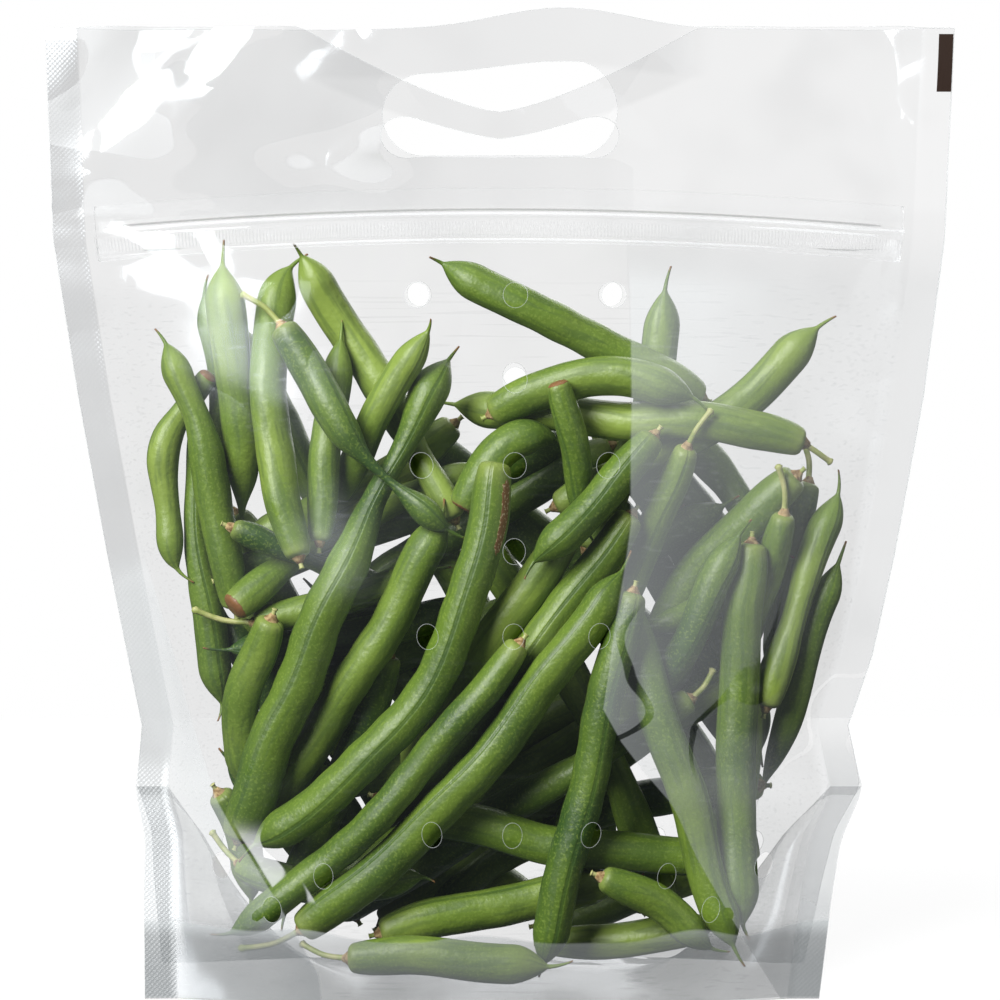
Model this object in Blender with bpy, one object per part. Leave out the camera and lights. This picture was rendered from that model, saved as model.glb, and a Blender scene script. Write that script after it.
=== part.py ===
"""A clear stand-up produce pouch, nine inches wide, filled with 76 fresh green beans.

The pouch is a front panel and a back panel of film, welded along both sides, a folded bottom
gusset that lets the base open, and the two halves of a press-to-close zip. Each loose bean is one
piece, from its stalk, or the stub that is left of it, to its beak. The 22 beans against the back
film are fused into one body where they cross.

Metres, +Z up. The origin is on the ground under the middle of the pouch, and the front faces -Y.
"""

import math
import random

import bmesh
import bpy
import numpy as np

MM = 0.001

# The pouch, as flat film
FLAT_HALF_WIDTH = 114.5 * MM
FLAT_HEIGHT = 243 * MM
SIDE_WELD = 8 * MM
FILM = 0.6 * MM
PANEL_GAP = 0.3 * MM
INNER_HALF_WIDTH = FLAT_HALF_WIDTH - SIDE_WELD

# The pouch, as the beans have filled it: where each side's edge stands, and the half depth
OUTLINE_HEIGHTS = np.array((0, 25, 37.5, 50, 66, 84, 110, 150, 190, 243)) * MM
LEFT_EDGE = np.array((89, 90, 90, 93, 91.5, 95, 100, 107, 113, 114.5)) * MM
RIGHT_EDGE = np.array((80, 84, 86.5, 92.5, 89, 95, 100.5, 107.5, 112.5, 114.5)) * MM
BELLY_HEIGHTS = np.array((0, 50, 100, 150, 176, 187, 193, 206, 243)) * MM
BELLY_HALF_DEPTHS = np.array((30, 31, 28.5, 21, 12.5, 7, 2.8, 2.8, 5)) * MM
BELLY_POWER_HEIGHTS = np.array((0, 150, 187, 193, 243)) * MM
BELLY_POWERS = np.array((2.6, 3, 5, 24, 24))

# Below the notch in the side weld, the front and back legs of the gusset spread apart
LEG_TOP = 57 * MM
LEG_SPREAD = 21 * MM
GUSSET_RISE = 50 * MM
GUSSET_FLAT_SHARE = 0.35
GUSSET_GAP = 0.8 * MM

# The hand slot, punched through both panels, and how the top of each panel has gone out of line
SLOT_HEIGHT = 221.3 * MM
SLOT_HALF_LENGTH = 30 * MM
SLOT_HALF_WIDTH = 10.2 * MM
SLUMP_BASE = 211 * MM
FRONT_SLUMP = 22 * MM
FRONT_SLUMP_REACH = 50 * MM
FRONT_SLUMP_FORWARD = 15 * MM
BACK_LIFT = 5.5 * MM
BACK_LIFT_CENTRE = 16 * MM
BACK_LIFT_REACH = 24 * MM

# Vent holes, a quarter inch across: a staggered field on the belly and a zigzag over the gusset
VENT_RADIUS = 3.2 * MM
VENT_SIDES = 8
VENT_COLUMNS = np.array((-21.5, 4, 29.5)) * MM
VENT_ROW_PITCH = 21 * MM
TOP_VENT_ROW = 176 * MM
LOW_VENT_ROW = 43 * MM
GUSSET_VENTS = ((57 * MM, 32 * MM), (74 * MM, 23 * MM), (91 * MM, 33 * MM))

# The zip: a ribbed strip on the front panel that presses into a grooved strip on the back one
ZIP_HEIGHT = 197 * MM
ZIP_DROOP = 5 * MM
ZIP_HALF_LENGTH = 96 * MM
ZIP_TAPE_HALF_HEIGHT = 4 * MM
ZIP_TAPE = 0.6 * MM
ZIP_REACH = 0.6 * MM
ZIP_OFF_PANEL = 0.5 * MM
ZIP_STEPS = 10

# One bean: a chain of stations from the stalk's end to the beak's, each with a share of the girth
STATIONS = 12
POD_SHARES = (0.5, 0.84, 0.99, 1.0, 0.98, 1.0, 0.98, 0.9, 0.6)
STALK_RADIUS = 1.0 * MM
STUB_SHARE = 0.5
BEAK_RADIUS = 0.55 * MM
SIDES = 6
POD_FLATNESS = 0.93
STALK_TURN = math.radians(38)
STUB_LENGTH = 3 * MM

# Filling the pouch
WALL_ROOM = 1.5 * MM
BEAN_ROOM = 0.5 * MM
CEILING = 190 * MM
LAYER = 8.8 * MM
EASING_ROUNDS = 300
SHAPE_HOLD = 0.4
LAST_SHAPE_HOLD = 0.2
PLACE_HOLD = 0.05
BACK_BEANS = 4
BACK_TRIES = 60
BACK_LAYERS = (2.6, 3, 3.4)
SEED = 11

# The beans against the back film lie criss-cross, in two families, and are fused where they cross.
# Each family has its lean, its spacing, its number of beans and its depth in from the film.
FAMILIES = ((math.radians(-55), 12 * MM, 12, 0), (math.radians(35), 14.5 * MM, 10, 6.8 * MM))
HEAP_MIDDLE = np.array((-2, 77)) * MM
HEAP_HALF = np.array((70, 66)) * MM
HEAP_POWER = 4
FUSED_LENGTHS = (104 * MM, 132 * MM)
FUSED_GIRTHS = (4.8 * MM, 5.3 * MM)
FUSED_BOW = 0.09
LEAN_SPREAD = math.radians(13)
FUSED_ROOM = 2.2 * MM
FUSED_STATIONS = np.array((0, 0.06, 0.18, 0.45, 0.7, 0.88, 1))
FUSED_SHARES = np.array((0.35, 0.75, 1, 1, 0.98, 0.75, 0.1))
FUSED_SIDES = 6
FUSED_SEED = 3

# The beans that show at the front. Each is drawn as points from its stem end to its tip, (across,
# up) in millimetres; then its thickness, the length of its stalk (0 where that has broken off) and
# how many beans deep its stem end and its tip lie.
FRONT_BEANS = (
    (((-67, 38), (-62, 54), (-44, 103), (-24, 142), (-10, 163)), 12.6, 0, 1.4, 1),
    (((-66, 36), (-40, 76), (-26, 97), (-12, 124)), 10.6, 0, 1.6, 1),
    (((-2, 135), (-5, 116), (-10, 90), (-34, 57), (-66, 34)), 11, 0, 0, 0),
    (((3, 85), (-21, 58), (-50, 26), (-76, 10)), 8.8, 0, 0, 0.4),
    (((-51, 19), (-17, 44), (23, 88), (40, 107)), 10.6, 17, 0, 0),
    (((34, 120), (15, 97), (-18, 58), (-38, 38)), 10.2, 0, 1, 1.4),
    (((18, 116), (7, 100), (-26, 50)), 10.2, 0, 2, 2),
    (((34, 102), (22, 46), (9, 6)), 10.2, 0, 2, 0),
    (((27, 98), (42, 63), (55, 38), (66, 8)), 10.2, 0, 2, 0),
    (((66, 112), (62, 70), (63, 42), (64, 12)), 10, 0, 1, 1),
    (((-60, 108), (-67, 140), (-63, 176), (-54, 193)), 10, 0, 1, 1),
    (((-68, 96), (-74, 136), (-73, 160), (-65, 190)), 10.4, 0, 2.4, 1.6),
    (((-14, 116), (-40, 160), (-57, 186)), 10.4, 0, 3, 2),
    (((-57, 168), (-38, 144), (-20, 129), (-3, 121)), 9.6, 14, 0, 0.6),
    (((-68, 96), (-84, 133), (-93, 165)), 10.6, 0, 3, 2),
    (((-74, 104), (-77, 150), (-87, 176)), 8, 0, 3.6, 2),
    (((-72, 153), (-85, 138), (-86, 122), (-79, 99)), 9, 0, 1, 1),
    (((-77, 146), (-77, 112), (-64, 70)), 9.2, 0, 3, 3),
    (((-75, 118), (-62, 110), (-44, 104), (-24, 98)), 8, 3, 0, 3),
    (((-75, 102), (-56, 112), (-8, 140)), 10.4, 0, 1, 3.2),
    (((-63, 97), (-48, 101), (-14, 110)), 8.4, 17, 1, 3),
    (((-12, 96), (-46, 88), (-76, 83)), 9.6, 0, 3.4, 1.4),
    (((-58, 96), (-66, 72), (-66, 46)), 9.6, 4, 1.6, 1.2),
    (((50, 146), (30, 161), (6, 175), (-18, 182)), 10, 0, 3.2, 2.2),
    (((20, 112), (36, 156), (46, 182)), 9.2, 0, 3, 3),
    (((14, 122), (54, 148), (84, 171)), 9.6, 0, 3, 2.4),
    (((77, 137), (54, 144), (36, 147), (-18, 141)), 10, 9, 2, 2.2),
    (((-2, 145), (14, 154), (33, 156), (54, 148)), 10.4, 0, 2, 1),
    (((14, 156), (15, 146), (22, 114)), 7.8, 0, 0.6, 2),
    (((-10, 124), (-2, 138), (9, 144), (20, 138)), 10.2, 0, 1.4, 1.4),
    (((38, 142), (30, 132), (4, 108)), 10.2, 0, 0, 1.6),
    (((47, 139), (43, 125), (25, 86)), 8.8, 12, 0, 2.4),
    (((36, 146), (56, 128), (76, 104)), 9.6, 0, 3, 2),
    (((70, 118), (69, 100), (63, 72)), 8.8, 13, 0.6, 2.2),
    (((38, 76), (57, 100), (71, 116)), 9, 0, 3, 0.8),
    (((80, 68), (87, 100), (91, 130)), 9.4, 0, 2, 1.4),
    (((87, 124), (80, 105), (70, 70)), 9, 13, 1, 3),
    (((78, 105), (62, 98), (36, 90)), 9, 9, 1.6, 3.6),
    (((72, 80), (72, 55), (67, 27)), 8.6, 0, 2.2, 2),
    (((-30, 15), (-4, 21), (36, 32)), 10.6, 0, 1, 1.4),
    (((26, 30), (40, 26), (60, 13)), 9, 2, 0, 0),
    (((-26, 50), (16, 38), (68, 26)), 10, 0, 2.4, 1.6),
    (((-74, 24), (-58, 22), (-20, 34)), 9.6, 13, 0.6, 2.6),
    (((-73, 48), (-73, 32), (-65, 13)), 9.4, 0, 1.6, 1.2),
    (((-38, 10), (-12, 11), (18, 8)), 10, 14, 0, 0),
    (((-43, 112), (-40, 142), (-38, 169)), 8.6, 0, 2.4, 2),
    (((-36, 118), (-30, 142), (-17, 168)), 8.4, 0, 2.8, 2.2),
    (((-46, 118), (-58, 146), (-75, 170)), 9, 0, 3.2, 2.6),
    (((14, 12), (38, 13), (64, 10)), 9.2, 0, 1.8, 1.4),
    (((67, 22), (76, 52), (84, 82), (88, 108)), 9, 0, 2.6, 1.8),
)


def clear_scene():
    for thing in list(bpy.data.objects):
        bpy.data.objects.remove(thing)


def finish(name, colour, roughness, alpha=1.0):
    """A Principled material of that colour."""
    material = bpy.data.materials.new(name)
    material.use_nodes = True
    shader = material.node_tree.nodes["Principled BSDF"]
    shader.inputs["Base Color"].default_value = (*colour, 1)
    shader.inputs["Roughness"].default_value = roughness
    shader.inputs["Metallic"].default_value = 0
    shader.inputs["Alpha"].default_value = alpha
    return material


def add_object(name, mesh, material):
    mesh.materials.append(material)
    thing = bpy.data.objects.new(name, mesh)
    bpy.context.scene.collection.objects.link(thing)
    return thing


# The filled shape of the pouch. These work on single numbers and on numpy arrays.


def half_width(x, height):
    """From the middle to the outer edge of the side weld, on the side that x is on."""
    left = np.interp(height, OUTLINE_HEIGHTS, LEFT_EDGE)
    right = np.interp(height, OUTLINE_HEIGHTS, RIGHT_EDGE)
    return np.where(x < 0, left, right)


def leg_opening(height):
    """How far a side weld stands from the pouch's middle plane: nothing above the notch."""
    return PANEL_GAP / 2 + LEG_SPREAD * np.clip(1 - height / LEG_TOP, 0, 1)


def half_depth(share, height):
    """From the middle plane to the film's inner face, share being 0 at the middle and 1 at the weld."""
    leg = leg_opening(height)
    belly = np.maximum(np.interp(height, BELLY_HEIGHTS, BELLY_HALF_DEPTHS) - leg, 0)
    power = np.interp(height, BELLY_POWER_HEIGHTS, BELLY_POWERS)
    return leg + belly * (1 - np.clip(np.abs(share), 0, 1) ** power)


def across(flat_x, height):
    """Where a line drawn down the flat film comes to lie once the pouch is full."""
    width = half_width(flat_x, height)
    inside = flat_x * (width - SIDE_WELD) / INNER_HALF_WIDTH
    in_weld = np.sign(flat_x) * (width - (FLAT_HALF_WIDTH - np.abs(flat_x)))
    return np.where(np.abs(flat_x) <= INNER_HALF_WIDTH, inside, in_weld)


def slump(flat_x, height):
    """How much of its slump the front panel has taken at this point: 1 at the middle of the rim."""
    rise = np.clip((height - SLUMP_BASE) / (FLAT_HEIGHT - SLUMP_BASE), 0, 1) ** 0.6
    return rise * np.clip(1 - (np.abs(flat_x) / FRONT_SLUMP_REACH) ** 1.35, 0, 1)


def front_point(flat_x, height):
    """The outer face of the front panel. Its hand strip slumps down and forwards."""
    fallen = slump(flat_x, height)
    depth = half_depth(flat_x / INNER_HALF_WIDTH, height) + FILM
    return (
        float(across(flat_x, height)),
        float(-depth - FRONT_SLUMP_FORWARD * fallen),
        float(height - FRONT_SLUMP * fallen),
    )


def back_point(flat_x, height):
    """The outer face of the back panel. Its hand strip is drawn up a little, off centre."""
    rise = np.clip((height - SLUMP_BASE) / (FLAT_HEIGHT - SLUMP_BASE), 0, 1)
    lift = BACK_LIFT * rise * np.exp(-(((flat_x - BACK_LIFT_CENTRE) / BACK_LIFT_REACH) ** 2))
    depth = half_depth(flat_x / INNER_HALF_WIDTH, height) + FILM
    return float(across(flat_x, height)), float(depth), float(height + lift)


def gusset_lift(share):
    """The share of its rise that the gusset's fold has kept: none over the flat middle of the base."""
    sloping = np.clip((np.abs(share) - GUSSET_FLAT_SHARE) / (1 - GUSSET_FLAT_SHARE), 0, 1)
    return sloping**2.4


def gusset_point(flat_x, fold):
    """The lower face of the gusset, fold running from -1 at the front edge to 1 at the back one."""
    share = min(abs(flat_x) / INNER_HALF_WIDTH, 1.0)
    height = GUSSET_RISE * (1 - abs(fold)) * gusset_lift(share)
    base = half_depth(share, 0) - GUSSET_GAP
    pressed = half_depth(share, height) - GUSSET_GAP
    beside_weld = share**8
    side = 0 if fold == 0 else math.copysign(1, fold)
    depth = (1 - beside_weld) * fold * base + beside_weld * side * pressed
    return float(across(flat_x, height)), float(depth), float(height)


def floor_height(x, y):
    """The gusset's height under a point inside the pouch, found between a few of its folds."""
    share = np.clip(np.abs(x) / (half_width(x, 0 * x) - SIDE_WELD), 0, 1)[..., None]
    fold = np.linspace(0, 1, 9)
    height = GUSSET_RISE * (1 - fold) * gusset_lift(share)
    beside_weld = share**8
    depth = (1 - beside_weld) * fold * half_depth(share, 0) + beside_weld * half_depth(share, height)
    depth[..., 0] = 0
    passed = np.clip((depth <= np.abs(y)[..., None]).sum(axis=-1), 1, len(fold) - 1)[..., None]
    near, far = (np.take_along_axis(depth, at, -1) for at in (passed - 1, passed))
    high, low = (np.take_along_axis(height, at, -1) for at in (passed - 1, passed))
    between = np.clip((np.abs(y)[..., None] - near) / np.maximum(far - near, 1e-6), 0, 1)
    return (high + (low - high) * between)[..., 0]


# The film


def slab(columns, rows, thickness):
    """A flat plate of the film's outline, on the lines where the film will bend."""
    mesh = bmesh.new()
    grid = [[mesh.verts.new((x, 0, z)) for z in rows] for x in columns]
    for i in range(len(columns) - 1):
        for j in range(len(rows) - 1):
            mesh.faces.new((grid[i][j], grid[i + 1][j], grid[i + 1][j + 1], grid[i][j + 1]))
    raised = bmesh.ops.extrude_face_region(mesh, geom=mesh.faces[:])["geom"]
    corners = [item for item in raised if isinstance(item, bmesh.types.BMVert)]
    bmesh.ops.translate(mesh, verts=corners, vec=(0, thickness, 0))
    bmesh.ops.recalc_face_normals(mesh, faces=mesh.faces[:])
    return mesh


def punch(mesh, outline, reach):
    """Adds one punch, a prism through the plate, to the mesh of cutters."""
    near = [mesh.verts.new((x, -reach, z)) for x, z in outline]
    far = [mesh.verts.new((x, 2 * reach, z)) for x, z in outline]
    mesh.faces.new(near)
    mesh.faces.new(far[::-1])
    for i in range(len(outline)):
        k = (i + 1) % len(outline)
        mesh.faces.new((near[k], near[i], far[i], far[k]))


def round_outline(x, z, radius, sides):
    turns = [2 * math.pi * (i + 0.5) / sides for i in range(sides)]
    return [(x + radius * math.cos(a), z + radius * math.sin(a)) for a in turns]


def slot_outline(steps=5):
    """A slot with round ends, anticlockwise."""
    straight = SLOT_HALF_LENGTH - SLOT_HALF_WIDTH
    points = []
    for end, start in ((1, -math.pi / 2), (-1, math.pi / 2)):
        for i in range(steps + 1):
            a = start + math.pi * i / steps
            x = end * straight + SLOT_HALF_WIDTH * math.cos(a)
            points.append((x, SLOT_HEIGHT + SLOT_HALF_WIDTH * math.sin(a)))
    return points


def vent_places():
    """Every vent of one panel, on the flat film."""
    rows = [TOP_VENT_ROW - i * VENT_ROW_PITCH for i in range(5)]
    places = [(VENT_COLUMNS[1], row) for row in rows]
    places += [(side, row) for row in rows[::2] for side in VENT_COLUMNS[::2]]
    places += [(column, LOW_VENT_ROW) for column in VENT_COLUMNS]
    places += [(side * x, z) for x, z in GUSSET_VENTS for side in (-1, 1)]
    return places


def punched_film(columns, rows):
    """The flat film with its slot and vents, as one layer of triangles."""
    thickness = 2 * MM
    plate = bpy.data.meshes.new("plate")
    slab(columns, rows, thickness).to_mesh(plate)
    punches = bmesh.new()
    punch(punches, slot_outline(), thickness)
    for x, z in vent_places():
        punch(punches, round_outline(x, z, VENT_RADIUS, VENT_SIDES), thickness)
    bmesh.ops.recalc_face_normals(punches, faces=punches.faces[:])
    cutter_mesh = bpy.data.meshes.new("punches")
    punches.to_mesh(cutter_mesh)
    film = bpy.data.objects.new("film", plate)
    cutter = bpy.data.objects.new("punches", cutter_mesh)
    for thing in (film, cutter):
        bpy.context.scene.collection.objects.link(thing)
    cut = film.modifiers.new("punch", "BOOLEAN")
    cut.object = cutter
    cut.operation = "DIFFERENCE"
    bpy.context.view_layer.update()
    graph = bpy.context.evaluated_depsgraph_get()
    layer = bmesh.new()
    layer.from_mesh(bpy.data.meshes.new_from_object(film.evaluated_get(graph)))
    for thing in (film, cutter):
        bpy.data.objects.remove(thing)
    layer.normal_update()
    others = [face for face in layer.faces if face.normal.y > -0.9]
    bmesh.ops.delete(layer, geom=others, context="FACES")
    bmesh.ops.triangulate(layer, faces=layer.faces[:])
    return layer


def formed(layer, name, place, outward, material):
    """Bends a flat layer into shape and gives it the film's thickness, inwards from its outer face."""
    for vert in layer.verts:
        vert.co = place(vert.co.x, vert.co.z)
    if not outward:
        bmesh.ops.reverse_faces(layer, faces=layer.faces[:])
    mesh = bpy.data.meshes.new(name)
    layer.to_mesh(mesh)
    mesh.shade_smooth()
    thing = add_object(name, mesh, material)
    skin = thing.modifiers.new("film", "SOLIDIFY")
    skin.thickness = FILM
    skin.offset = -1
    return thing


def film_columns():
    right = [x * MM for x in (10, 20, 31, 45, 60, 75, 90, 101)]
    right += [INNER_HALF_WIDTH, FLAT_HALF_WIDTH]
    return [-x for x in reversed(right)] + [0.0] + right


def panel_rows():
    heights = (0, 12.5, 25, 37.5, 50, 57, 66, 84, 102, 120, 138, 156, 170, 181, 187, 193, 206)
    return [height * MM for height in heights] + [211 * MM, 231 * MM, FLAT_HEIGHT]


def make_panels(film):
    layer = punched_film(film_columns(), panel_rows())
    formed(layer.copy(), "front_panel", front_point, True, film)
    formed(layer, "back_panel", back_point, False, film)


def make_gusset(film):
    """The gusset's flat film runs across the pouch and folds once, front to back."""
    folds = (-1, -0.75, -0.5, -0.25, 0, 0.25, 0.5, 0.75, 1)
    flat = slab(film_columns(), folds, FILM)
    flat.normal_update()
    others = [face for face in flat.faces if face.normal.y > -0.9]
    bmesh.ops.delete(flat, geom=others, context="FACES")
    bmesh.ops.triangulate(flat, faces=flat.faces[:])
    formed(flat, "bottom_gusset", gusset_point, False, film)


# The zip


def zip_strip(name, section, side, material):
    """Sweeps a section, in (towards the middle plane, up), along the panel's inner face."""
    mesh = bmesh.new()
    rings = []
    for x in np.linspace(-ZIP_HALF_LENGTH, ZIP_HALF_LENGTH, ZIP_STEPS + 1):
        share = x / INNER_HALF_WIDTH
        height = ZIP_HEIGHT - ZIP_DROOP * share**2
        tape = half_depth(share, height) - ZIP_OFF_PANEL
        ring = []
        for reach, up in section:
            depth = -ZIP_REACH if reach else tape
            if reach == "tape":
                depth = tape - ZIP_TAPE
            place = (float(across(x, height)), side * depth, height + up)
            ring.append(mesh.verts.new(place))
        rings.append(ring)
    for first, second in zip(rings, rings[1:]):
        for i in range(len(section)):
            k = (i + 1) % len(section)
            mesh.faces.new((first[i], first[k], second[k], second[i]))
    mesh.faces.new(rings[0][::-1])
    mesh.faces.new(rings[-1])
    bmesh.ops.recalc_face_normals(mesh, faces=mesh.faces[:])
    made = bpy.data.meshes.new(name)
    mesh.to_mesh(made)
    add_object(name, made, material)


def ridge(low, high):
    """One ridge of the section, out to its reach and back to the tape."""
    return [("tape", low), ("full", low), ("full", high), ("tape", high)]


def make_zip(material):
    edge = ZIP_TAPE_HALF_HEIGHT
    back_of_tape = [("", edge), ("", -edge)]
    rib = [("tape", -edge), *ridge(-0.7 * MM, 0.7 * MM), ("tape", edge)]
    claws = [*ridge(-2.1 * MM, -1.2 * MM), *ridge(1.2 * MM, 2.1 * MM)]
    groove = [("tape", -edge), *claws, ("tape", edge)]
    zip_strip("zip_rib_strip", rib + back_of_tape, -1, material)
    zip_strip("zip_groove_strip", groove + back_of_tape, 1, material)


# The beans


def station_radii(thickness, stalk):
    """The girth at each station, stalk first. A bean with no stalk keeps a blunt stub."""
    pod = [thickness / 2 * share for share in POD_SHARES]
    if stalk:
        start = [STALK_RADIUS, STALK_RADIUS]
    else:
        start = [pod[0] * STUB_SHARE, pod[0] * 0.8]
    return np.array(start + pod + [BEAK_RADIUS])


def pod_line(points, count):
    """Evenly spaced points along a smooth line from the first point drawn to the last."""
    turns = np.cumsum([0] + [float(np.hypot(*(b - a))) for a, b in zip(points, points[1:])])
    along = np.linspace(0, turns[-1], 61)
    line = np.stack([np.interp(along, turns, [p[axis] for p in points]) for axis in (0, 1)], axis=1)
    for _ in range(60):
        line[1:-1] = (line[:-2] + 2 * line[1:-1] + line[2:]) / 4
    lengths = np.linalg.norm(np.diff(line, axis=0), axis=1)
    along = np.concatenate(([0], np.cumsum(lengths)))
    wanted = np.linspace(0, along[-1], count)
    return np.stack([np.interp(wanted, along, line[:, axis]) for axis in (0, 1)], axis=1)


def stalk_points(line, stalk, turn):
    """Two stations before the stem end: along the stalk, which bends off to one side."""
    heading = (line[0] - line[1]) / np.linalg.norm(line[0] - line[1])
    c, s = math.cos(turn), math.sin(turn)
    bent = np.array((heading[0] * c - heading[1] * s, heading[0] * s + heading[1] * c))
    reach = stalk if stalk else STUB_LENGTH
    near = line[0] + heading * reach * 0.45
    far = near + (bent if stalk else heading) * reach * 0.55
    return np.array((far, near))


def drawn_bean(points, thickness, stalk, stem_layer, tip_layer, turn):
    """One bean from its sketch in the front view, laid that many beans behind the front film."""
    line = pod_line([np.array(point) * MM for point in points], STATIONS - 2)
    flat = np.concatenate((stalk_points(line, stalk * MM, turn), line))
    x, z = flat[:, 0], np.clip(flat[:, 1], 5 * MM, CEILING - 2 * MM)
    share = x / (half_width(x, z) - SIDE_WELD)
    room = np.maximum(half_depth(share, z) - WALL_ROOM - thickness * MM / 2, 0)
    layer = np.linspace(stem_layer, tip_layer, STATIONS) * LAYER
    place = np.stack((x, np.clip(layer - room, -room, room), z), axis=1)
    return place, station_radii(thickness * MM, stalk)


def back_bean(draw):
    """A bean for the back of the pouch, drawn by rule: leaning, bowed and somewhere in the heap."""
    length = draw.uniform(90, 120)
    lean = math.radians(draw.uniform(-75, 75)) + draw.choice((0, math.pi))
    centre = np.array((draw.uniform(-48, 54), draw.uniform(25, 105)))
    run = np.array((math.sin(lean), math.cos(lean))) * length / 2
    bow = np.array((run[1], -run[0])) * draw.uniform(-0.2, 0.2)
    points = [centre - run, centre + bow, centre + run]
    for point in points:
        point[1] = min(max(point[1], 9), 165 if abs(point[0]) < 75 else 145)
        reach = float(half_width(point[0], point[1] * MM) - SIDE_WELD) / MM - 12
        point[0] = min(max(point[0], -reach), reach)
    layer = draw.choice(BACK_LAYERS)
    return points, draw.uniform(9.4, 10.8), draw.choice((0, 0, 10, 14)), layer, layer


def open_places():
    """A grid of points over the front of the heap, where no bean has been laid yet."""
    x, z = np.meshgrid(np.arange(-76, 77, 5) * MM, np.arange(8, 152, 5) * MM)
    return np.stack((x.ravel(), z.ravel()), axis=1)


def covered(places, line, radii):
    """Which places a bean hides from the front."""
    stations = line[:, (0, 2)]
    start, run = stations[:-1], np.diff(stations, axis=0)
    off = places[:, None] - start
    share = np.clip((off * run).sum(-1) / np.maximum((run * run).sum(-1), 1e-12), 0, 1)
    far = np.linalg.norm(off - share[..., None] * run, axis=-1)
    return (far < (radii[:-1] + radii[1:]) / 2).any(axis=1)


def criss_cross():
    """The fused beans against the back film: each one's line, from stem end to beak, and its girth."""
    draw = random.Random(FUSED_SEED)
    beans = []
    for family_lean, spacing, count, depth in FAMILIES:
        for i in range(count):
            row = i - (count - 1) / 2 + draw.uniform(-0.2, 0.2)
            middle = HEAP_MIDDLE + np.array((-math.sin(family_lean), math.cos(family_lean))) * spacing * row
            lean = family_lean + draw.uniform(-LEAN_SPREAD, LEAN_SPREAD)
            along = np.array((math.cos(lean), math.sin(lean)))
            beside = np.array((-along[1], along[0]))
            reach = np.arange(-120, 121) * MM
            off_middle = (middle + reach[:, None] * along - HEAP_MIDDLE) / HEAP_HALF
            inside = reach[(np.abs(off_middle) ** HEAP_POWER).sum(axis=1) < 1]
            length = min(draw.uniform(*FUSED_LENGTHS), inside[-1] - inside[0])
            start = draw.uniform(inside[0], inside[-1] - length)
            bow = draw.uniform(-FUSED_BOW, FUSED_BOW) * length
            girth = draw.uniform(*FUSED_GIRTHS)
            turned = draw.random() < 0.5
            share = 1 - FUSED_STATIONS if turned else FUSED_STATIONS
            flat = middle + along * (start + share * length)[:, None]
            flat = flat + beside * (bow * 4 * share * (1 - share))[:, None]
            x, z = flat[:, 0], flat[:, 1]
            behind = half_depth(x / (half_width(x, z) - SIDE_WELD), z)
            line = np.stack((x, behind - FUSED_ROOM - girth - depth, z), axis=1)
            beans.append((line, girth * FUSED_SHARES))
    return beans


def resampled(line, radii):
    """A fused bean, cut into as many stations as the other beans have."""
    share = np.linspace(0, 1, STATIONS)
    again = np.stack([np.interp(share, FUSED_STATIONS, line[:, axis]) for axis in range(3)], axis=1)
    return again, np.interp(share, FUSED_STATIONS, radii)


def lay_out():
    """Every loose bean where it is first put, before the beans have made room for each other.

    Each loose bean at the back is the best of many drawn: the one that closes the most open places.
    """
    draw = random.Random(SEED)
    laid = [drawn_bean(*sketch, draw.choice((-1, 1)) * STALK_TURN) for sketch in FRONT_BEANS]
    places = open_places()
    for line, radii in laid + criss_cross():
        places = places[~covered(places, line, radii)]
    for _ in range(BACK_BEANS):
        tries = [drawn_bean(*back_bean(draw), STALK_TURN) for _ in range(BACK_TRIES)]
        best = max(tries, key=lambda bean: covered(places, *bean).sum())
        places = places[~covered(places, *best)]
        laid.append(best)
    return np.array([line for line, _ in laid]), np.array([radii for _, radii in laid])


def pairs_of_spans(beans, loose):
    """Every pair of spans, each between two stations, of different beans that aren't both fixed."""
    spans = STATIONS - 1
    owner = np.repeat(np.arange(beans), spans)
    first, second = np.triu_indices(beans * spans, 1)
    wanted = (owner[first] != owner[second]) & (owner[first] < loose)
    return first[wanted], second[wanted]


def near_pairs(place, pairs, reach):
    """The pairs of spans whose boxes come within reach of each other."""
    low = np.minimum(place[:, :-1], place[:, 1:]).reshape(-1, 3)
    high = np.maximum(place[:, :-1], place[:, 1:]).reshape(-1, 3)
    first, second = pairs
    apart = np.maximum(low[first] - high[second], low[second] - high[first]).max(axis=1)
    return first[apart < reach], second[apart < reach]


def closest(place, radii, pairs):
    """For each pair of spans: where they come closest, how far apart, and how thick both are there."""
    spans = STATIONS - 1
    bean_a, at_a = pairs[0] // spans, pairs[0] % spans
    bean_b, at_b = pairs[1] // spans, pairs[1] % spans
    a0, a1 = place[bean_a, at_a], place[bean_a, at_a + 1]
    b0, b1 = place[bean_b, at_b], place[bean_b, at_b + 1]
    u, v, w = a1 - a0, b1 - b0, a0 - b0
    uu, uv, vv = (u * u).sum(1), (u * v).sum(1), (v * v).sum(1)
    uw, vw = (u * w).sum(1), (v * w).sum(1)
    slant = np.maximum(uu * vv - uv * uv, 1e-14)
    s = np.clip((uv * vw - vv * uw) / slant, 0, 1)
    t = np.clip((uv * s + vw) / vv, 0, 1)
    s = np.clip((uv * t - uw) / uu, 0, 1)
    gap = w + s[:, None] * u - t[:, None] * v
    girth_a = (1 - s) * radii[bean_a, at_a] + s * radii[bean_a, at_a + 1]
    girth_b = (1 - t) * radii[bean_b, at_b] + t * radii[bean_b, at_b + 1]
    far = np.sqrt((gap * gap).sum(1))
    return (bean_a, at_a, s), (bean_b, at_b, t), gap, far, girth_a + girth_b


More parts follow.
